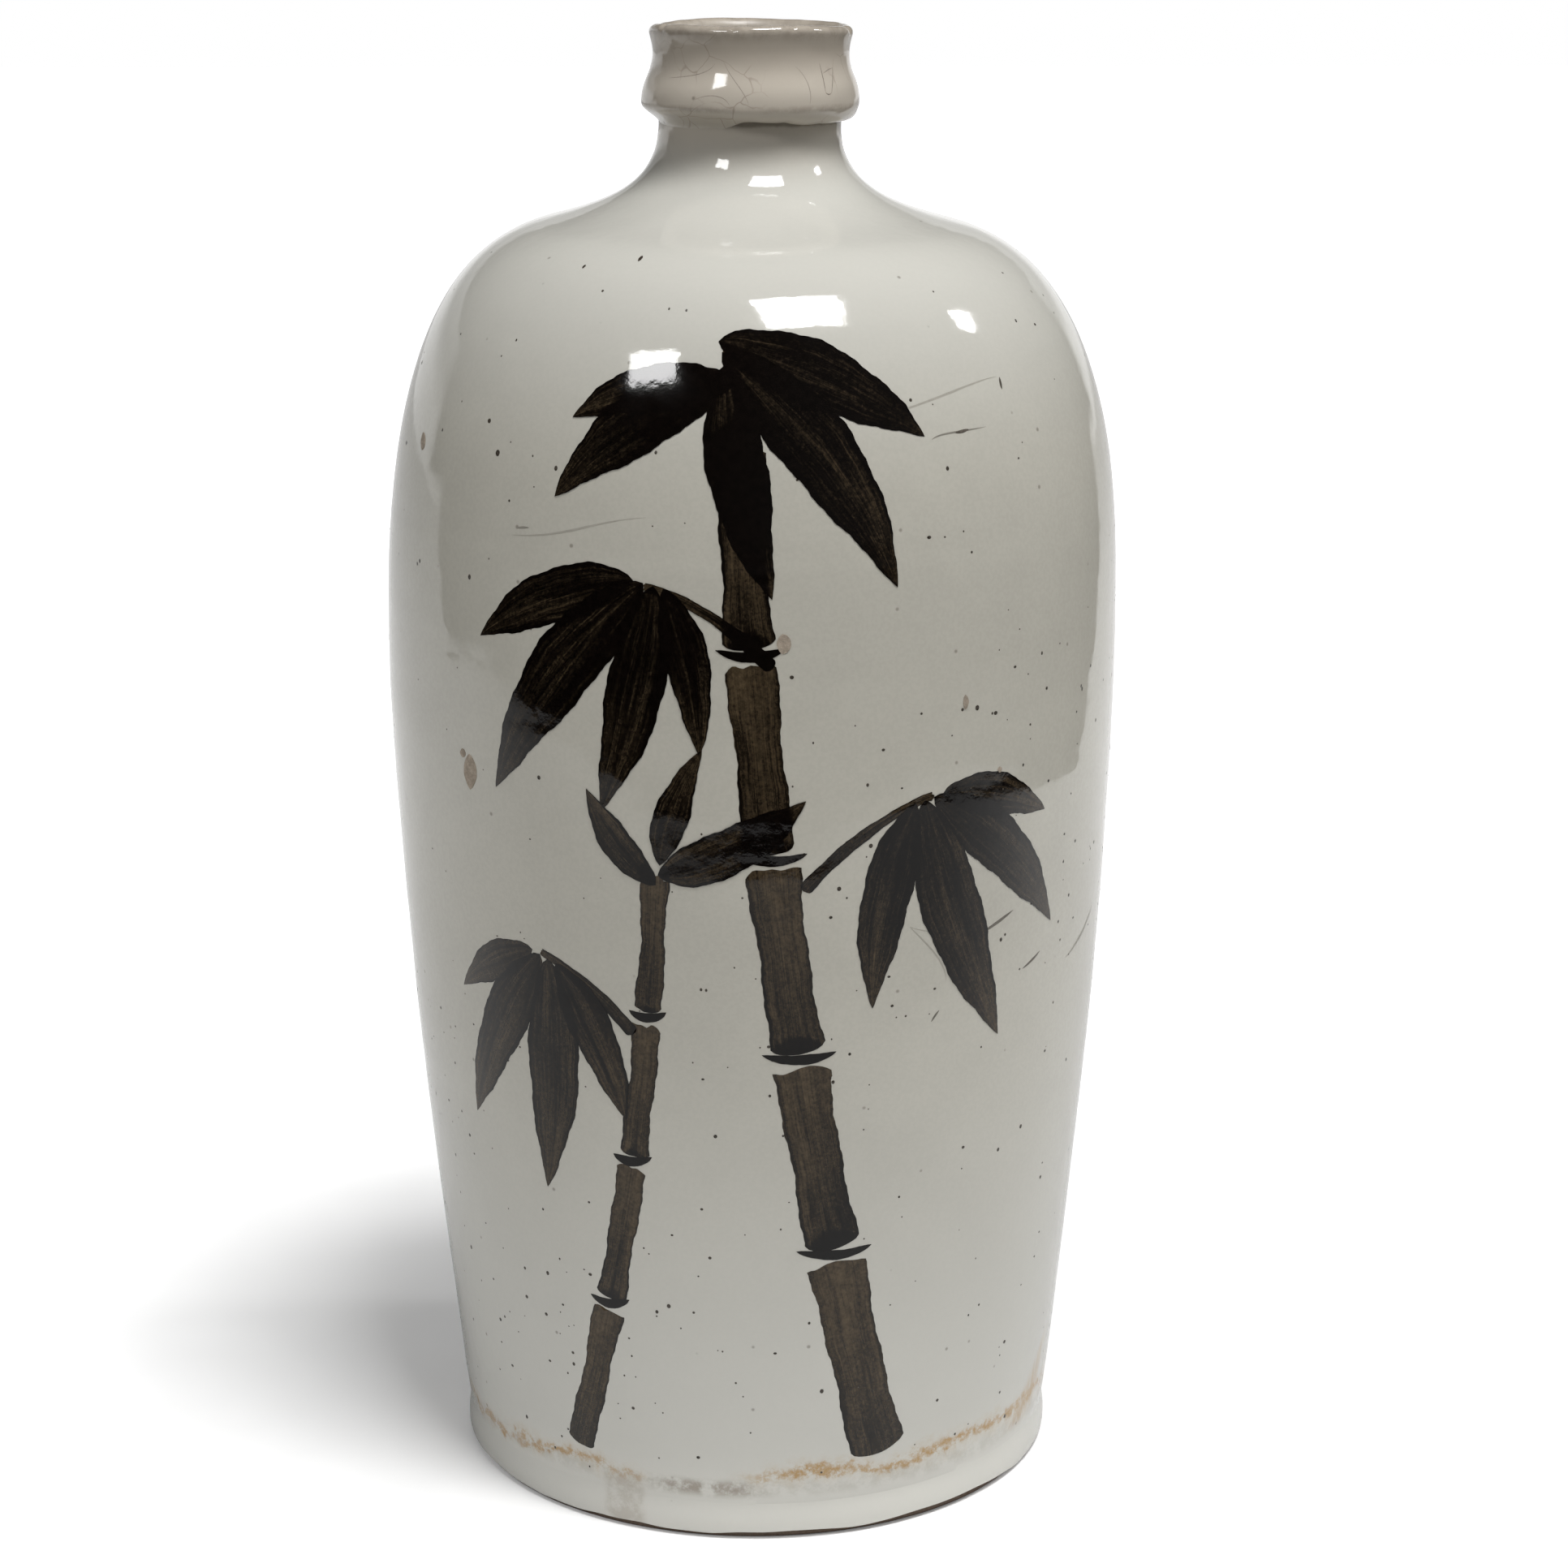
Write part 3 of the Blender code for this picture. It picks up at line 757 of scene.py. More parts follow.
def collar_curves(form):
    """Outline rows: underside with an open seam, the same filled with glaze, and all from ridge to bore."""
    z = form.neck_height
    top = form.rim_height
    ridge = (form.ridge_radius, z + 0.0051)
    waist = (form.neck_radius + 0.0016, z + 0.0157)
    lip = (form.lip_radius, top - 0.0013)
    rim = (form.lip_radius - 0.0016, top)
    mouth = (form.lip_radius - 0.00365, top - 0.0022)
    throat = (form.bore_radius, top - 0.0145)
    shelf = (form.neck_radius - 0.0016, z + NECK_TOP_RISE)
    edge = (form.neck_radius + 0.0005, z + 0.0021)
    low = (form.neck_radius - 0.0002, z + 0.0002)
    under = even_rows(run(
        np.linspace(shelf, edge, 6),
        bezier(edge, (edge[0] + 0.0022, edge[1]), (ridge[0], ridge[1] - 0.0016), ridge, 60),
    ), 40)
    filled = even_rows(run(
        np.linspace(shelf, low, 6),
        bezier(low, (low[0] + 0.0002, low[1] + 0.0024), (ridge[0], ridge[1] - 0.0019), ridge, 60),
    ), 40)
    above = even_rows(run(
        upright(ridge, waist, 0.46, 0.46),
        upright(waist, lip, 0.43, 0.20),
        bezier(lip, (lip[0], lip[1] + 0.0006), (rim[0] + 0.0010, top), rim, 60),
        bezier(rim, (rim[0] - 0.0009, top), (mouth[0], mouth[1] + 0.0011), mouth, 60),
        upright(mouth, throat, 0.31, 0.37),
        np.linspace(throat, (form.bore_radius, z + NECK_TOP_RISE), 12),
    ), 190)[1:]
    return under, filled, above


class SakeFootOperator(bpy.types.Operator):
    """Bare foot ring and the recessed underside of the base"""

    bl_idname = "object.sake_foot"
    bl_label = "Bare foot"

    def execute(self, context):
        clay = clay_finish(context.scene.sake_finish)
        self.ring(clay)
        self.underside(clay)
        return {"FINISHED"}

    def ring(self, clay):
        """Closed ring: rounded outer edge, flat foot, inner edge, and a top hidden under the body."""
        angle = full_turn(FOOT_COLUMNS)
        outer = FOOT_HIGH.x - RING_INSET
        inner = FOOT_EDGE - FOOT_WIDTH
        flat = inner + 0.0012
        outline = even_rows(run(
            np.linspace((inner - 0.0004, BASE_LOW.z + 0.0006), (inner - 0.0002, 0.0012), 8),
            bezier((inner - 0.0002, 0.0012), (inner, 0.0004), (inner + 0.0004, 0.0), (flat, 0.0), 20),
            np.linspace((flat, 0.0), (FOOT_EDGE, 0.0), 12),
            bezier((FOOT_EDGE, 0.0), (FOOT_EDGE + 0.0009, 0.0), (outer, 0.0012), (outer, BAND_HEIGHT), 40),
            np.linspace((outer, BAND_HEIGHT), (outer - 0.0006, 0.0036), 6),
        ), 60)
        points = ring_points(outline, angle)
        height = points[..., 2]
        rough = ripple(41, angle[None, :], 30, height, 0.004)
        rough = rough + ripple(42, angle[None, :], 70, height, 0.002)
        edge = smooth_step(outline[:, 0], FOOT_EDGE - 0.0004, FOOT_EDGE + 0.0012)[:, None]
        bite = np.clip(ripple(43, angle, 26, count=18) - 1.0, 0.0, 1.6)
        inward = edge * (0.00006 * np.abs(rough) + 0.0005 * bite[None, :])
        points[..., :2] *= (1 - inward / outline[:, 0][:, None])[..., None]
        points[..., 2] += edge * 0.0004 * bite[None, :] * (height < 0.0012)
        points[..., 0] += lean(0.0)
        foot = turned_piece("bare_foot_ring", points, clay, True)
        settle(foot, "bare_clay", "foot_ring", "foot_slip")

    def underside(self, clay):
        """Closed disc: its lower face carries a shallow spiral left by the cutting wire and the wheel."""
        angle = full_turn(FOOT_COLUMNS)
        reach = np.linspace(0.0, UNDERSIDE_RADIUS, 72)[:, None]
        middle = BASE_LOW.z + 0.0006
        spiral = 0.00022 * np.sin(math.tau * reach / 0.0062 + angle[None, :])
        spiral = spiral * smooth_step(reach, 0.002, 0.008)
        gritty = 0.00006 * ripple(44, angle[None, :], 20, reach, 0.008)
        dished = middle - 0.0006 * (reach / UNDERSIDE_RADIUS) ** 2
        low = np.where(reach > 0.0, dished + spiral + gritty, middle)
        lower = np.stack([reach * np.cos(angle), reach * np.sin(angle), low], axis=-1)
        upper = ring_points(np.array([(UNDERSIDE_RADIUS, 0.0043), (0.0, 0.0044)]), angle)
        points = np.concatenate([lower, upper])
        points[..., 0] += lean(0.0)
        disc = turned_piece("base_underside", points, clay)
        settle(disc, "bare_clay", "base_dish")


# Brush strokes

class Stroke:
    """A brush stroke on the unrolled front, in millimetres: knots, width, kind and how full the brush is."""

    BLUNT = {"stem": 0.45, "leaf": 0.0, "twig": 0.7, "mark": 0.0}
    RAGGED = {"stem": 1.5, "leaf": 0.0, "twig": 0.6, "mark": 0.0}

    def __init__(self, knots, width, kind, load):
        self.knots = [np.array(knot, float) for knot in knots]
        self.width = width
        self.kind = kind
        self.load = load
        self.length = np.linalg.norm(np.diff(self.centre(np.linspace(0, 1, 40)), axis=0), axis=1).sum()

    def centre(self, t):
        """Bezier curve of any degree: its knots blended in pairs until one point is left."""
        t = np.asarray(t)[..., None]
        knots = self.knots
        while len(knots) > 1:
            knots = [a * (1 - t) + b * t for a, b in zip(knots, knots[1:])]
        return knots[0]

    def half_width(self, t):
        """Half the width along the stroke."""
        t = np.clip(t, 0.0, 1.0)
        shape = {
            "stem": 0.86 + 0.14 * (2 * t - 1) ** 2,
            "leaf": np.clip(np.sin(math.pi * t ** 0.75), 0.0, 1.0) ** 0.85,
            "twig": 1 - 0.5 * t,
            "mark": np.clip(np.sin(math.pi * t), 0.0, 1.0) ** 0.6,
        }
        return 0.5 * self.width * shape[self.kind]

    def spread(self, seed, across):
        """Points of the stroke, how far along and how far across; bristles start and end a little apart."""
        draw = np.random.default_rng(seed)
        share = np.linspace(-1.0, 1.0, across)
        rows = int(np.clip(self.length / 0.8, 14, 80))
        bristle = np.interp(share, np.linspace(-1, 1, 7), draw.uniform(0, 1, 7))
        rounding = 0.5 * self.width * self.BLUNT[self.kind] * (1 - np.sqrt(1 - 0.95 * share ** 2))
        head = rounding + 0.2 * self.RAGGED[self.kind] * bristle[::-1]
        tail = 0.5 * rounding + self.RAGGED[self.kind] * bristle
        along = np.linspace(0.0, 1.0, rows)[:, None]
        t = (head + along * (self.length - head - tail)) / self.length
        ahead = self.centre(t + 0.004) - self.centre(t - 0.004)
        ahead /= np.linalg.norm(ahead, axis=-1, keepdims=True)
        side = np.stack((-ahead[..., 1], ahead[..., 0]), axis=-1)
        half = self.half_width(t)
        swings = ((0.22, 19.0), (0.12, 7.0), (0.07, 2.6))
        edges = [sum(size * np.cos(math.tau * t * self.length / wave + draw.uniform(0, math.tau))
                     for size, wave in swings) for _ in range(2)]
        wobble = np.where(share < 0, *edges) * np.minimum(1.0, half / 2.5)
        reach = np.maximum(half + wobble, 0.02) * share
        return self.centre(t) + reach[..., None] * side, t, np.broadcast_to(share, t.shape)

    def cover(self, flat):
        """How far inside this stroke each point lies: 0 outside, 1 well inside."""
        t = np.linspace(0.0, 1.0, 60)
        away = np.linalg.norm(flat[..., None, :] - self.centre(t), axis=-1)
        depth = self.half_width(t)[away.argmin(axis=-1)] - away.min(axis=-1)
        return np.clip(0.5 + depth / 0.9, 0.0, 1.0)


class Films:
    """Thin closed films on a skin, gathered into one piece: tops on the glaze, backs buried in the wall."""

    def __init__(self, skin):
        self.skin = skin
        self.points, self.quads, self.caps, self.maps, self.loads = [], [], [], [], []
        self.count = 0

    def add(self, flat, t, share, load, length, lift):
        """One film from its flat points in millimetres right and up."""
        rows, across = share.shape
        top = self.laid(flat, lift)
        back = self.laid(flat[:, [-1, 0]], BURIED)
        ring = np.concatenate([top, back], axis=1)
        uv = np.stack([t * length / 100 + self.count * 0.0137, (share + 1) / 2], axis=-1)
        self.points.append(ring.reshape(-1, 3))
        self.quads.append(grid_faces(rows, across + 2) + self.count)
        ends = np.arange(across + 2)
        self.caps.append(np.stack([ends, ends + (rows - 1) * (across + 2)]) + self.count)
        self.maps.append(np.concatenate([uv, uv[:, [-1, 0]]], axis=1).reshape(-1, 2))
        self.loads.append(np.concatenate([load, load[:, [-1, 0]]], axis=1).ravel())
        self.count += rows * (across + 2)

    def draw(self, stroke, seed, across, lift):
        """One film from a stroke that is filled evenly."""
        flat, t, share = stroke.spread(seed, across)
        self.add(flat, t, share, np.full_like(t, stroke.load), stroke.length, lift)

    def laid(self, flat, lift):
        """Flat points wrapped onto the skin and raised."""
        height = flat[..., 1] * MM
        angle = FRONT + flat[..., 0] * MM / self.skin.radius_at(height)
        return self.skin.point(angle, height, lift)

    def piece(self, name, material):
        """The films as one object."""
        faces = [np.concatenate(self.quads), np.concatenate(self.caps)]
        return mesh_piece(name, np.concatenate(self.points), faces, material, np.concatenate(self.maps),
                          {"load": np.concatenate(self.loads)})


def culm(start, end, bow, joints, width, load):
    """A bamboo stem: joints along a bowed line, and a short hooked mark at each node."""
    start, end = np.array(start, float), np.array(end, float)
    line = end - start
    across = np.array((-line[1], line[0])) / np.linalg.norm(line)
    shares = np.linspace(0.0, 1.0, joints + 1) ** 0.92
    gap = 1.0 / np.linalg.norm(line)

    def place(share):
        """Point at a share of the line, bowed sideways as a parabola."""
        return start + share * line + across * bow * 4 * share * (1 - share)

    strokes = []
    for low, high in zip(shares, shares[1:]):
        first, middle, last = place(low + gap), place((low + high) / 2), place(high - gap)
        knots = (first, 2 * middle - (first + last) / 2, last)
        strokes.append(Stroke(knots, width * (1 - 0.25 * low), "stem", load))
    for share in shares[1:-1]:
        reach = 0.66 * width * (1 - 0.25 * share)
        hook = (place(share) + (-reach, 1.2), place(share) + (0.0, -1.6), place(share) + (reach, 1.4))
        strokes.append(Stroke(hook, 2.2, "mark", load + 0.5))
    return strokes


def spray(root, twig, leaves, load):
    """Leaves along the end of a twig; each has a heading in degrees, a length, a width and a bend."""
    strokes = []
    for index, (degrees, length, width, bend) in enumerate(leaves):
        along = np.array((math.cos(math.radians(degrees)), math.sin(math.radians(degrees))))
        across = np.array((-along[1], along[0]))
        start = np.array(root, float) - 2.2 * index * np.array(twig)
        knots = (start, start + length * (0.35 * along + 0.14 * bend * across),
                 start + length * (0.70 * along + 0.12 * bend * across), start + length * along)
        strokes.append(Stroke(knots, width, "leaf", load))
    return strokes


class SakePaintingOperator(bpy.types.Operator):
    """Bamboo brushed in iron pigment: two stems, twigs and hanging leaves"""

    bl_idname = "object.sake_painting"
    bl_label = "Bamboo painting"

    def execute(self, context):
        films = Films(body_skin(context.scene.sake_form))
        strokes = self.bamboo()
        layers = []
        for index, stroke in enumerate(strokes):
            flat, t, share = stroke.spread(500 + index, 15)
            covers = [under.cover(flat) for under in strokes[:index]]
            crossed = [layer for layer, cover in zip(layers, covers) if cover.max() > 0.0]
            layers.append(1 + max(crossed, default=0))
            load = stroke.load - 0.40 * np.clip(t - 0.30, 0.0, 1.0) + 0.45 * sum(covers, np.zeros_like(t))
            films.add(flat, t, share, load, stroke.length, PAINT_LIFT + LAYER_LIFT * layers[-1])
        settle(films.piece("bamboo_brush_painting", brush_finish(context.scene.sake_finish)), "glaze")
        return {"FINISHED"}

    def bamboo(self):
        """The strokes in the order of painting."""
        strokes = culm((27, 17), (-3, 238), 5.0, 5, 13.0, 0.62)
        strokes += culm((-41, 16), (-20, 152), -4.0, 4, 7.5, 0.55)
        twigs = (((4, 194), (-8, 207), (-22, 210)), ((10, 148), (24, 163), (38, 166)),
                 ((-25, 116), (-36, 128), (-47, 131)), ((-3, 236), (-1, 246), (-6, 256)))
        strokes += [Stroke(path, 3.0, "twig", 0.75) for path in twigs]
        sprays = (
            ((-7, 257), (-0.3, 0.95), 1.0, ((-24, 46, 12, 0.5), (-52, 58, 14, 0.7), (-78, 46, 12, -0.4),
                                            (-146, 44, 12, -0.6), (-168, 34, 9, -0.8))),
            ((-24, 211), (-0.95, 0.2), 0.95, ((-158, 40, 11, -0.6), (-128, 58, 14, -0.5),
                                              (-104, 48, 12, 0.3), (-78, 34, 9, 0.5))),
            ((40, 166), (0.95, 0.2), 0.85, ((-16, 30, 9, 0.6), (-44, 48, 12, 0.6),
                                            (-70, 58, 14, -0.3), (-102, 44, 11, -0.5))),
            ((-49, 131), (-0.9, 0.3), 0.75, ((-150, 26, 8, -0.6), (-118, 46, 12, -0.4),
                                             (-92, 52, 13, 0.3), (-64, 36, 10, 0.5))),
            ((-19, 153), (0.2, 0.95), 0.80, ((70, 26, 7, 0.5), (28, 34, 10, -0.6), (128, 24, 7, 0.6))),
        )
        for root, twig, load, leaves in sprays:
            strokes += spray(root, twig, leaves, load)
        return strokes


# Kiln marks

class SakeMarksOperator(bpy.types.Operator):
    """Iron specks, glaze fissures and bare spots that the kiln left"""

    bl_idname = "object.sake_marks"
    bl_label = "Kiln marks"

    def execute(self, context):
        form = context.scene.sake_form
        skin = body_skin(form)
        self.specks(skin)
        self.fissures(skin)
        self.flake(form)
        self.bare_spots(skin, context.scene.sake_finish)
        return {"FINISHED"}

    def specks(self, skin):
        """Specks: flat eight-sided spindles, part scattered evenly and part in loose swarms."""
        draw = np.random.default_rng(61)
        count, sides, swarms = 900, 8, 16
        height = 0.014 + 0.255 * draw.uniform(0, 1, count) ** 1.35
        angle = draw.uniform(0, math.tau, count)
        swarm = draw.integers(0, swarms, count)
        gathered = draw.uniform(0, 1, count) < 0.45
        middle_angle = draw.uniform(0, math.tau, swarms)[swarm]
        middle_height = draw.uniform(0.03, 0.19, swarms)[swarm]
        angle = np.where(gathered, middle_angle + draw.normal(0, 0.20, count), angle)
        swarming = np.clip(middle_height + draw.normal(0, 0.014, count), 0.012, 0.27)
        height = np.where(gathered, swarming, height)
        size = (0.16 + 0.30 * draw.uniform(0, 1, count) ** 2) * MM
        placed = np.array(((-97.8, 229.4, 0.6), (-59.8, 238.7, 0.5), (-56.8, 232.9, 0.6),
                           (36.2, 218.5, 0.5), (48.1, 182.8, 0.5), (53.0, 181.0, 0.5),
                           (-23.4, 271.0, 0.4))) * MM
        height = np.concatenate([height, placed[:, 1]])
        angle = np.concatenate([angle, FRONT + placed[:, 0] / skin.radius_at(placed[:, 1])])
        size = np.concatenate([size, placed[:, 2]])
        count = len(size)
        turn = full_turn(sides)
        rim_angle = angle[:, None] + size[:, None] * np.cos(turn) / skin.radius_at(height)[:, None]
        rim_height = height[:, None] + size[:, None] * np.sin(turn) * draw.uniform(0.7, 1.3, (count, 1))
        rim = skin.point(rim_angle, rim_height, 0.00001)
        top = skin.point(angle, height, 0.00005)[:, None, :]
        back = skin.point(angle, height, BURIED)[:, None, :]
        corner = np.arange(sides)
        following = (corner + 1) % sides
        fan = np.concatenate([np.stack([corner, following, np.full(sides, sides)], axis=-1),
                              np.stack([following, corner, np.full(sides, sides + 1)], axis=-1)])
        faces = (fan[None] + (np.arange(count) * (sides + 2))[:, None, None]).reshape(-1, 3)
        mark = speck_finish("iron_specks", SPECK, 0.25)
        points = np.concatenate([rim, top, back], axis=1).reshape(-1, 3)
        settle(mesh_piece("iron_specks", points, [faces], mark), "glaze")

    def lines(self, skin, paths, seed, name, tones):
        """Hairlines drawn as fine ribbons through their knots; each has a width and how dark it is."""
        films = Films(skin)
        for index, (width, dark, knots) in enumerate(paths):
            films.draw(Stroke(knots, width, "mark", dark), seed + index, 3, LINE_LIFT)
        settle(films.piece(name, speck_finish(name, tones[0], 0.35, tones[1])), "glaze")

    def fissures(self, skin):
        """Hairline breaks and ridges in the glaze, with short stray ones round the back."""
        paths = [
            (0.45, 0.10, ((24.0, 242.2), (28.3, 243.1), (37.5, 245.2), (47.8, 248.2), (53.5, 248.1))),
            (0.40, 0.55, ((36.7, 237.5), (38.3, 238.7), (43.2, 238.5), (50.1, 238.9))),
            (0.70, 1.00, ((42.2, 238.4), (44.0, 238.5), (45.6, 238.8))),
            (0.60, 1.00, ((54.4, 248.0), (54.6, 247.0), (55.0, 245.6))),
            (0.45, 0.10, ((-52.4, 217.5), (-44.0, 218.0), (-36.4, 219.4), (-32.8, 222.1), (-21.4, 223.4))),
            (0.50, 0.45, ((-51.2, 219.0), (-49.5, 219.3), (-47.8, 219.4))),
            (0.75, 0.80, ((50.2, 134.2), (54.2, 135.4), (59.4, 137.5))),
            (0.40, 0.15, ((32.7, 138.4), (38.6, 135.7), (45.8, 135.5), (50.6, 134.5))),
            (0.40, 0.15, ((32.7, 138.4), (36.9, 134.0), (41.7, 129.1), (41.4, 125.2))),
            (0.40, 0.15, ((48.4, 134.2), (47.6, 130.0), (46.9, 126.6))),
            (0.60, 0.80, ((62.9, 123.6), (66.0, 124.5), (68.8, 126.2))),
            (0.90, 0.20, ((80.3, 121.6), (86.5, 123.5), (92.0, 125.7), (96.1, 128.9))),
            (0.50, 0.80, ((38.0, 116.8), (38.9, 118.1), (39.9, 119.1))),
            (0.35, 0.70, ((-29.4, 171.8), (-29.9, 170.2), (-30.8, 168.6))),
        ]
        draw = np.random.default_rng(71)
        around = skin.radius_at(0.15) / MM
        for turn in np.radians((110, 150, 190, 235)):
            start = np.array((turn * around, draw.uniform(60, 200)))
            step = draw.uniform((4.0, -2.0), (9.0, 6.0))
            paths.append((0.5, draw.uniform(0.2, 0.9), [start + share * step + draw.normal(0, 0.6, 2)
                                                        for share in (0.0, 0.4, 0.7, 1.0)]))
        self.lines(skin, paths, 700, "glaze_fissures", FISSURE_TONES)

    def flake(self, form):
        """Outline of a flake that lifted from the collar's glaze, and a few long cracks beside it."""
        above = collar_curves(form)[2]
        skin = Skin(above[: above[:, 1].argmax()], collar_relief)
        paths = ((0.22, 0.9, ((15.5, 307.5), (16.6, 304.0), (17.0, 301.6))),
                 (0.22, 0.9, ((17.0, 301.6), (18.0, 300.8), (18.8, 301.6))),
                 (0.22, 0.9, ((18.8, 301.6), (19.4, 304.0), (19.6, 306.4))),
                 (0.22, 0.8, ((16.4, 305.4), (18.0, 306.2), (19.6, 306.4))),
                 (0.16, 0.6, ((-5.7, 308.2), (-4.6, 305.0), (-1.6, 303.0), (-0.4, 299.6))),
                 (0.16, 0.6, ((-19.5, 304.4), (-14.0, 305.0), (-9.2, 305.2), (-7.6, 307.6))),
                 (0.16, 0.5, ((-12.0, 300.4), (-8.6, 302.0), (-5.2, 301.4), (-4.4, 299.4))),
                 (0.16, 0.4, ((9.5, 307.0), (12.6, 304.6), (13.4, 301.4), (12.8, 299.4))))
        self.lines(skin, paths, 730, "collar_cracks", CRACK_TONES)

    def bare_spots(self, skin, finish):
        """Small places where the glaze crawled off the clay: a blob with a ragged rim."""
        spots = ((-65.7, 166.6, 1.9, 3.8), (-68.0, 170.2, 0.9, 0.9), (6.0, 199.0, 1.4, 2.0),
                 (54.2, 168.9, 0.6, 0.6), (45.0, 184.4, 0.6, 1.5), (-85.8, 231.5, 1.1, 1.7))
        films = Films(skin)
        for index, (x, z, width, tall) in enumerate(spots):
            stroke = Stroke(((x, z - tall), (x + 0.4, z), (x, z + tall)), 2 * width, "mark", 0.0)
            films.draw(stroke, 800 + index, 7, SPOT_LIFT)
        settle(films.piece("bare_glaze_spots", clay_finish(finish)), "bare_clay")


# Stage

class SakeStageOperator(bpy.types.Operator):
    """White table, softboxes, studio surround and the camera"""

    bl_idname = "object.sake_stage"
    bl_label = "Studio"

    def execute(self, context):
        self.table()
        self.surround(context.scene)
        self.softbox("overhead_softbox", (0.190, -0.282, 0.941), 2.0, (0.74, 0.68), 15.0, 44.0)
        self.softbox("right_softbox", (0.772, 0.125, 0.624), 1.5, (0.15, 0.20), 53.0, 3.0)
        self.softbox("left_softbox", (-0.492, -0.591, 0.639), 2.2, (0.52, 0.48), -10.0, 12.4)
        self.camera(context.scene)
        context.scene.view_settings.view_transform = "Standard"
        return {"FINISHED"}

    def table(self):
        """White table top: it keeps the bottle's shadow and fades to plain white away from it."""
        edge = ((-1.0, -0.05), (-0.60, -0.42), (0.0, -0.47), (0.45, -0.42), (0.60, -0.25), (0.55, 0.30),
                (0.85, 0.9), (2.4, 2.9), (2.4, 5.0), (-4.0, 5.0), (-4.0, 1.9), (-1.5, 0.57), (-0.95, 0.25))
        corners = np.array([(x, y, 0.0) for x, y in edge])
        made = Finish("white_table")
        path = made.add("ShaderNodeLightPath").outputs
        mirrored = made.math("MAXIMUM", path["Is Glossy Ray"], path["Is Transmission Ray"])
        paper = made.span(made.noise(40.0), 0.3, 0.7, 0.93, 0.96)
        # Painted shade: as seen in reflections, the table grows darker towards the camera.
        front_shade = made.span(made.parts()["Y"], -0.30, 0.10, 0.28, 0.70)
        paper = made.times(paper, made.add("ShaderNodeMix", {0: mirrored, 2: 1.0, 3: front_shade}).outputs[0])
        made.use("Specular IOR Level", 0.2)
        away = made.vector("LENGTH", made.place)
        near = made.span(away, 0.13, 0.30, 0.10, 0.30)
        far = made.math("ADD", near, made.span(away, 0.30, 0.65, 0.0, 0.70))
        seen = made.times(path["Is Camera Ray"], far)
        made.use("Emission Color", WHITE)
        made.use("Emission Strength", made.scaled(mirrored, made.times(far, front_shade, 0.6), seen))
        white = made.done(made.grey(paper), 0.6)
        mesh_piece("table", corners, [np.arange(len(corners))[None, :]], white)

    def surround(self, scene):
        """White paper behind the table for reflections, a dark room elsewhere, white for the camera."""
        world = bpy.data.worlds.new("studio")
        scene.world = world
        world.use_nodes = True
        world.node_tree.nodes.clear()
        made = Nodes(world.node_tree, "Generated")

        def facing(direction, *span):
            """How far a view looks in a direction, moved from one span to another."""
            return made.span(made.vector("DOT_PRODUCT", made.place, direction), *span)

        above = (0.0, 0.0, 1.0)
        path = made.add("ShaderNodeLightPath").outputs
        wall = made.times(facing((-0.20, 1.0, 0.0), 0.70, 0.77), facing(above, 0.04, 0.16, 1.0, 0.42),
                          facing(above, 0.235, 0.25, 1.0, 0.0))
        sweep = made.times(facing((-0.22, 1.0, 0.0), 0.60, 0.65), facing(above, -0.05, 0.0, 1.0, 0.0))
        fill = made.times(facing((0.95, -0.31, 0.0), -0.2, 1.0, 0.055, 0.55),
                          facing(above, -0.15, 0.1, 0.04, 1.0),
                          made.span(path["Is Glossy Ray"], 0.0, 1.0, 1.0, 0.12))
        paper = made.math("MAXIMUM", made.math("MAXIMUM", wall, sweep), fill)
        strength = made.math("MAXIMUM", path["Is Camera Ray"], paper)
        background = made.add("ShaderNodeBackground", {"Color": WHITE, "Strength": strength})
        made.add("ShaderNodeOutputWorld", {"Surface": background.outputs[0]})

    def softbox(self, name, towards, distance, size, turn, power):
        """A rectangular lamp in a direction from the shoulder, facing it; turn in degrees, power in watts."""
        aim = Vector((0.0, 0.0, 0.25))
        direction = Vector(towards).normalized()
        lamp = bpy.data.lights.new(name, "AREA")
        lamp.shape = "RECTANGLE"
        lamp.size, lamp.size_y = size
        lamp.energy = power
        holder = bpy.data.objects.new(name, lamp)
        across = (Vector((1.0, 0.0, 0.0)) - direction.x * direction).normalized()
        across = Quaternion(direction, math.radians(turn)) @ across
        axes = Matrix((across, direction.cross(across), direction)).transposed()
        holder.location = aim + distance * direction
        holder.rotation_euler = axes.to_euler()
        bpy.context.scene.collection.objects.link(holder)

    def camera(self, scene):
        """The photograph's view: focal length in pixels, pitched down and turned a little."""
        stage = scene.sake_stage
        lens = bpy.data.cameras.new("camera")
        lens.sensor_width = SENSOR_WIDTH
        lens.lens = SENSOR_WIDTH * stage.focal_pixels / IMAGE_SIDE
        lens.clip_start = 0.01
        holder = bpy.data.objects.new("camera", lens)
        holder.location = (0.0, -stage.distance, stage.height)
        holder.rotation_euler = Euler((math.pi / 2 - stage.pitch, 0.0, -stage.yaw))
        scene.collection.objects.link(holder)
        scene.camera = holder


class SakePanel(bpy.types.Panel):
    """Lists the pieces of the bottle"""

    bl_idname = "VIEW3D_PT_sake_bottle"
    bl_label = "Sake bottle"
    bl_space_type = "VIEW_3D"
    bl_region_type = "UI"
    bl_category = "Sake Bottle"

    def draw(self, context):
        for operator in OPERATORS:
            self.layout.operator(operator.bl_idname)
        for name in SETTINGS:
            group = getattr(context.scene, name)
            box = self.layout.box()
            for label in group.bl_rna.properties.keys():
                if label not in ("rna_type", "name"):
                    box.prop(group, label)


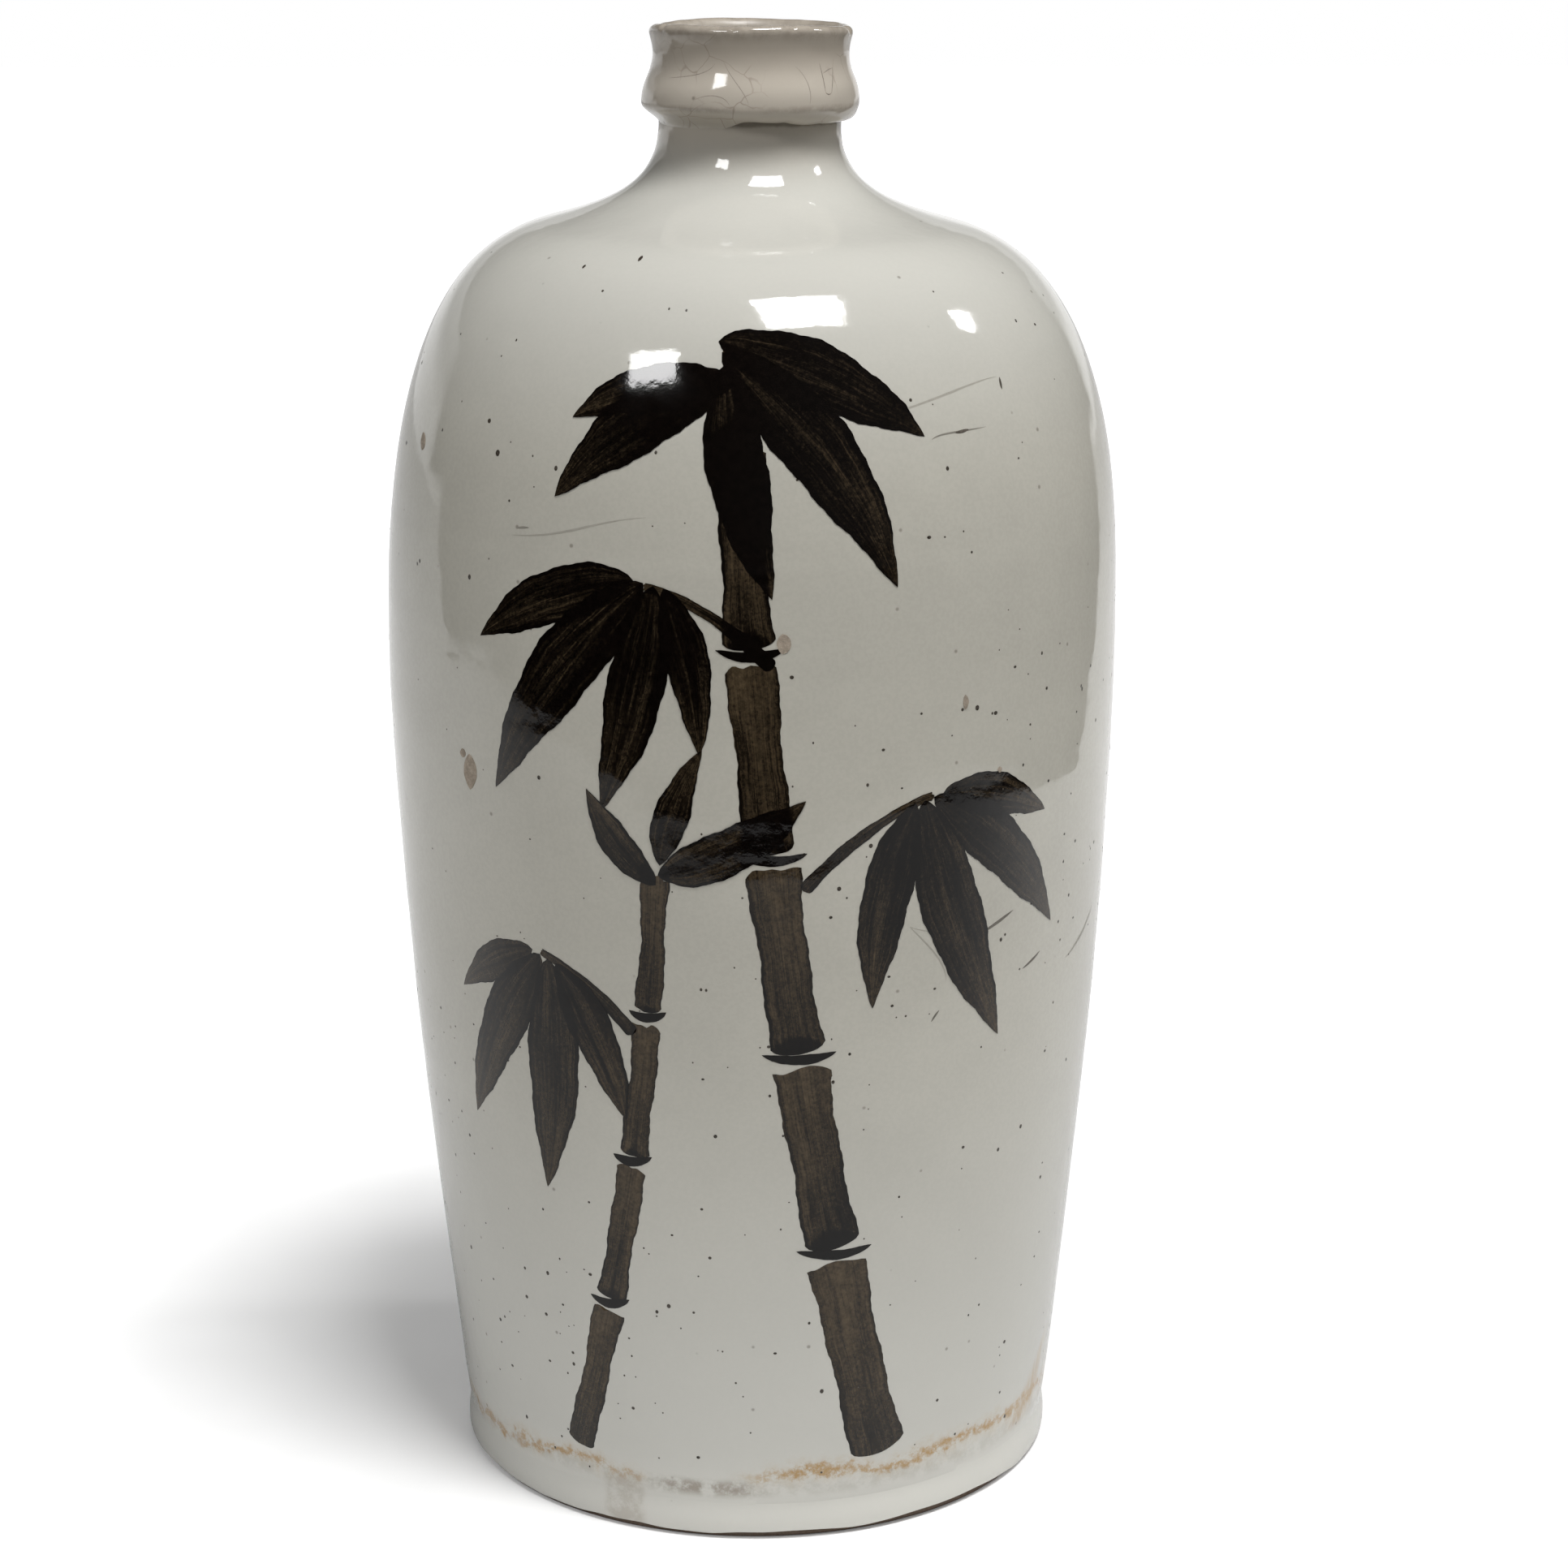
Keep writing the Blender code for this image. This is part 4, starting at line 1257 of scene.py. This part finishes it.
SETTINGS = {"sake_form": BottleForm, "sake_finish": BottleFinish, "sake_stage": BottleStage}
OPERATORS = (SakeBodyOperator, SakeCollarOperator, SakeFootOperator, SakePaintingOperator,
             SakeMarksOperator, SakeStageOperator)
CLASSES = (*SETTINGS.values(), *OPERATORS, SakePanel)


def register():
    """Makes the settings, operators and panel known to Blender."""
    for item in CLASSES:
        bpy.utils.register_class(item)
    for name, group in SETTINGS.items():
        setattr(bpy.types.Scene, name, PointerProperty(type=group))


def unregister():
    """Takes them away again, in the opposite order."""
    for name in SETTINGS:
        delattr(bpy.types.Scene, name)
    for item in reversed(CLASSES):
        bpy.utils.unregister_class(item)


def main():
    """Makes every piece."""
    register()
    bpy.ops.object.sake_body()
    bpy.ops.object.sake_collar()
    bpy.ops.object.sake_foot()
    bpy.ops.object.sake_painting()
    bpy.ops.object.sake_marks()
    bpy.ops.object.sake_stage()


if __name__ == "__main__":
    main()
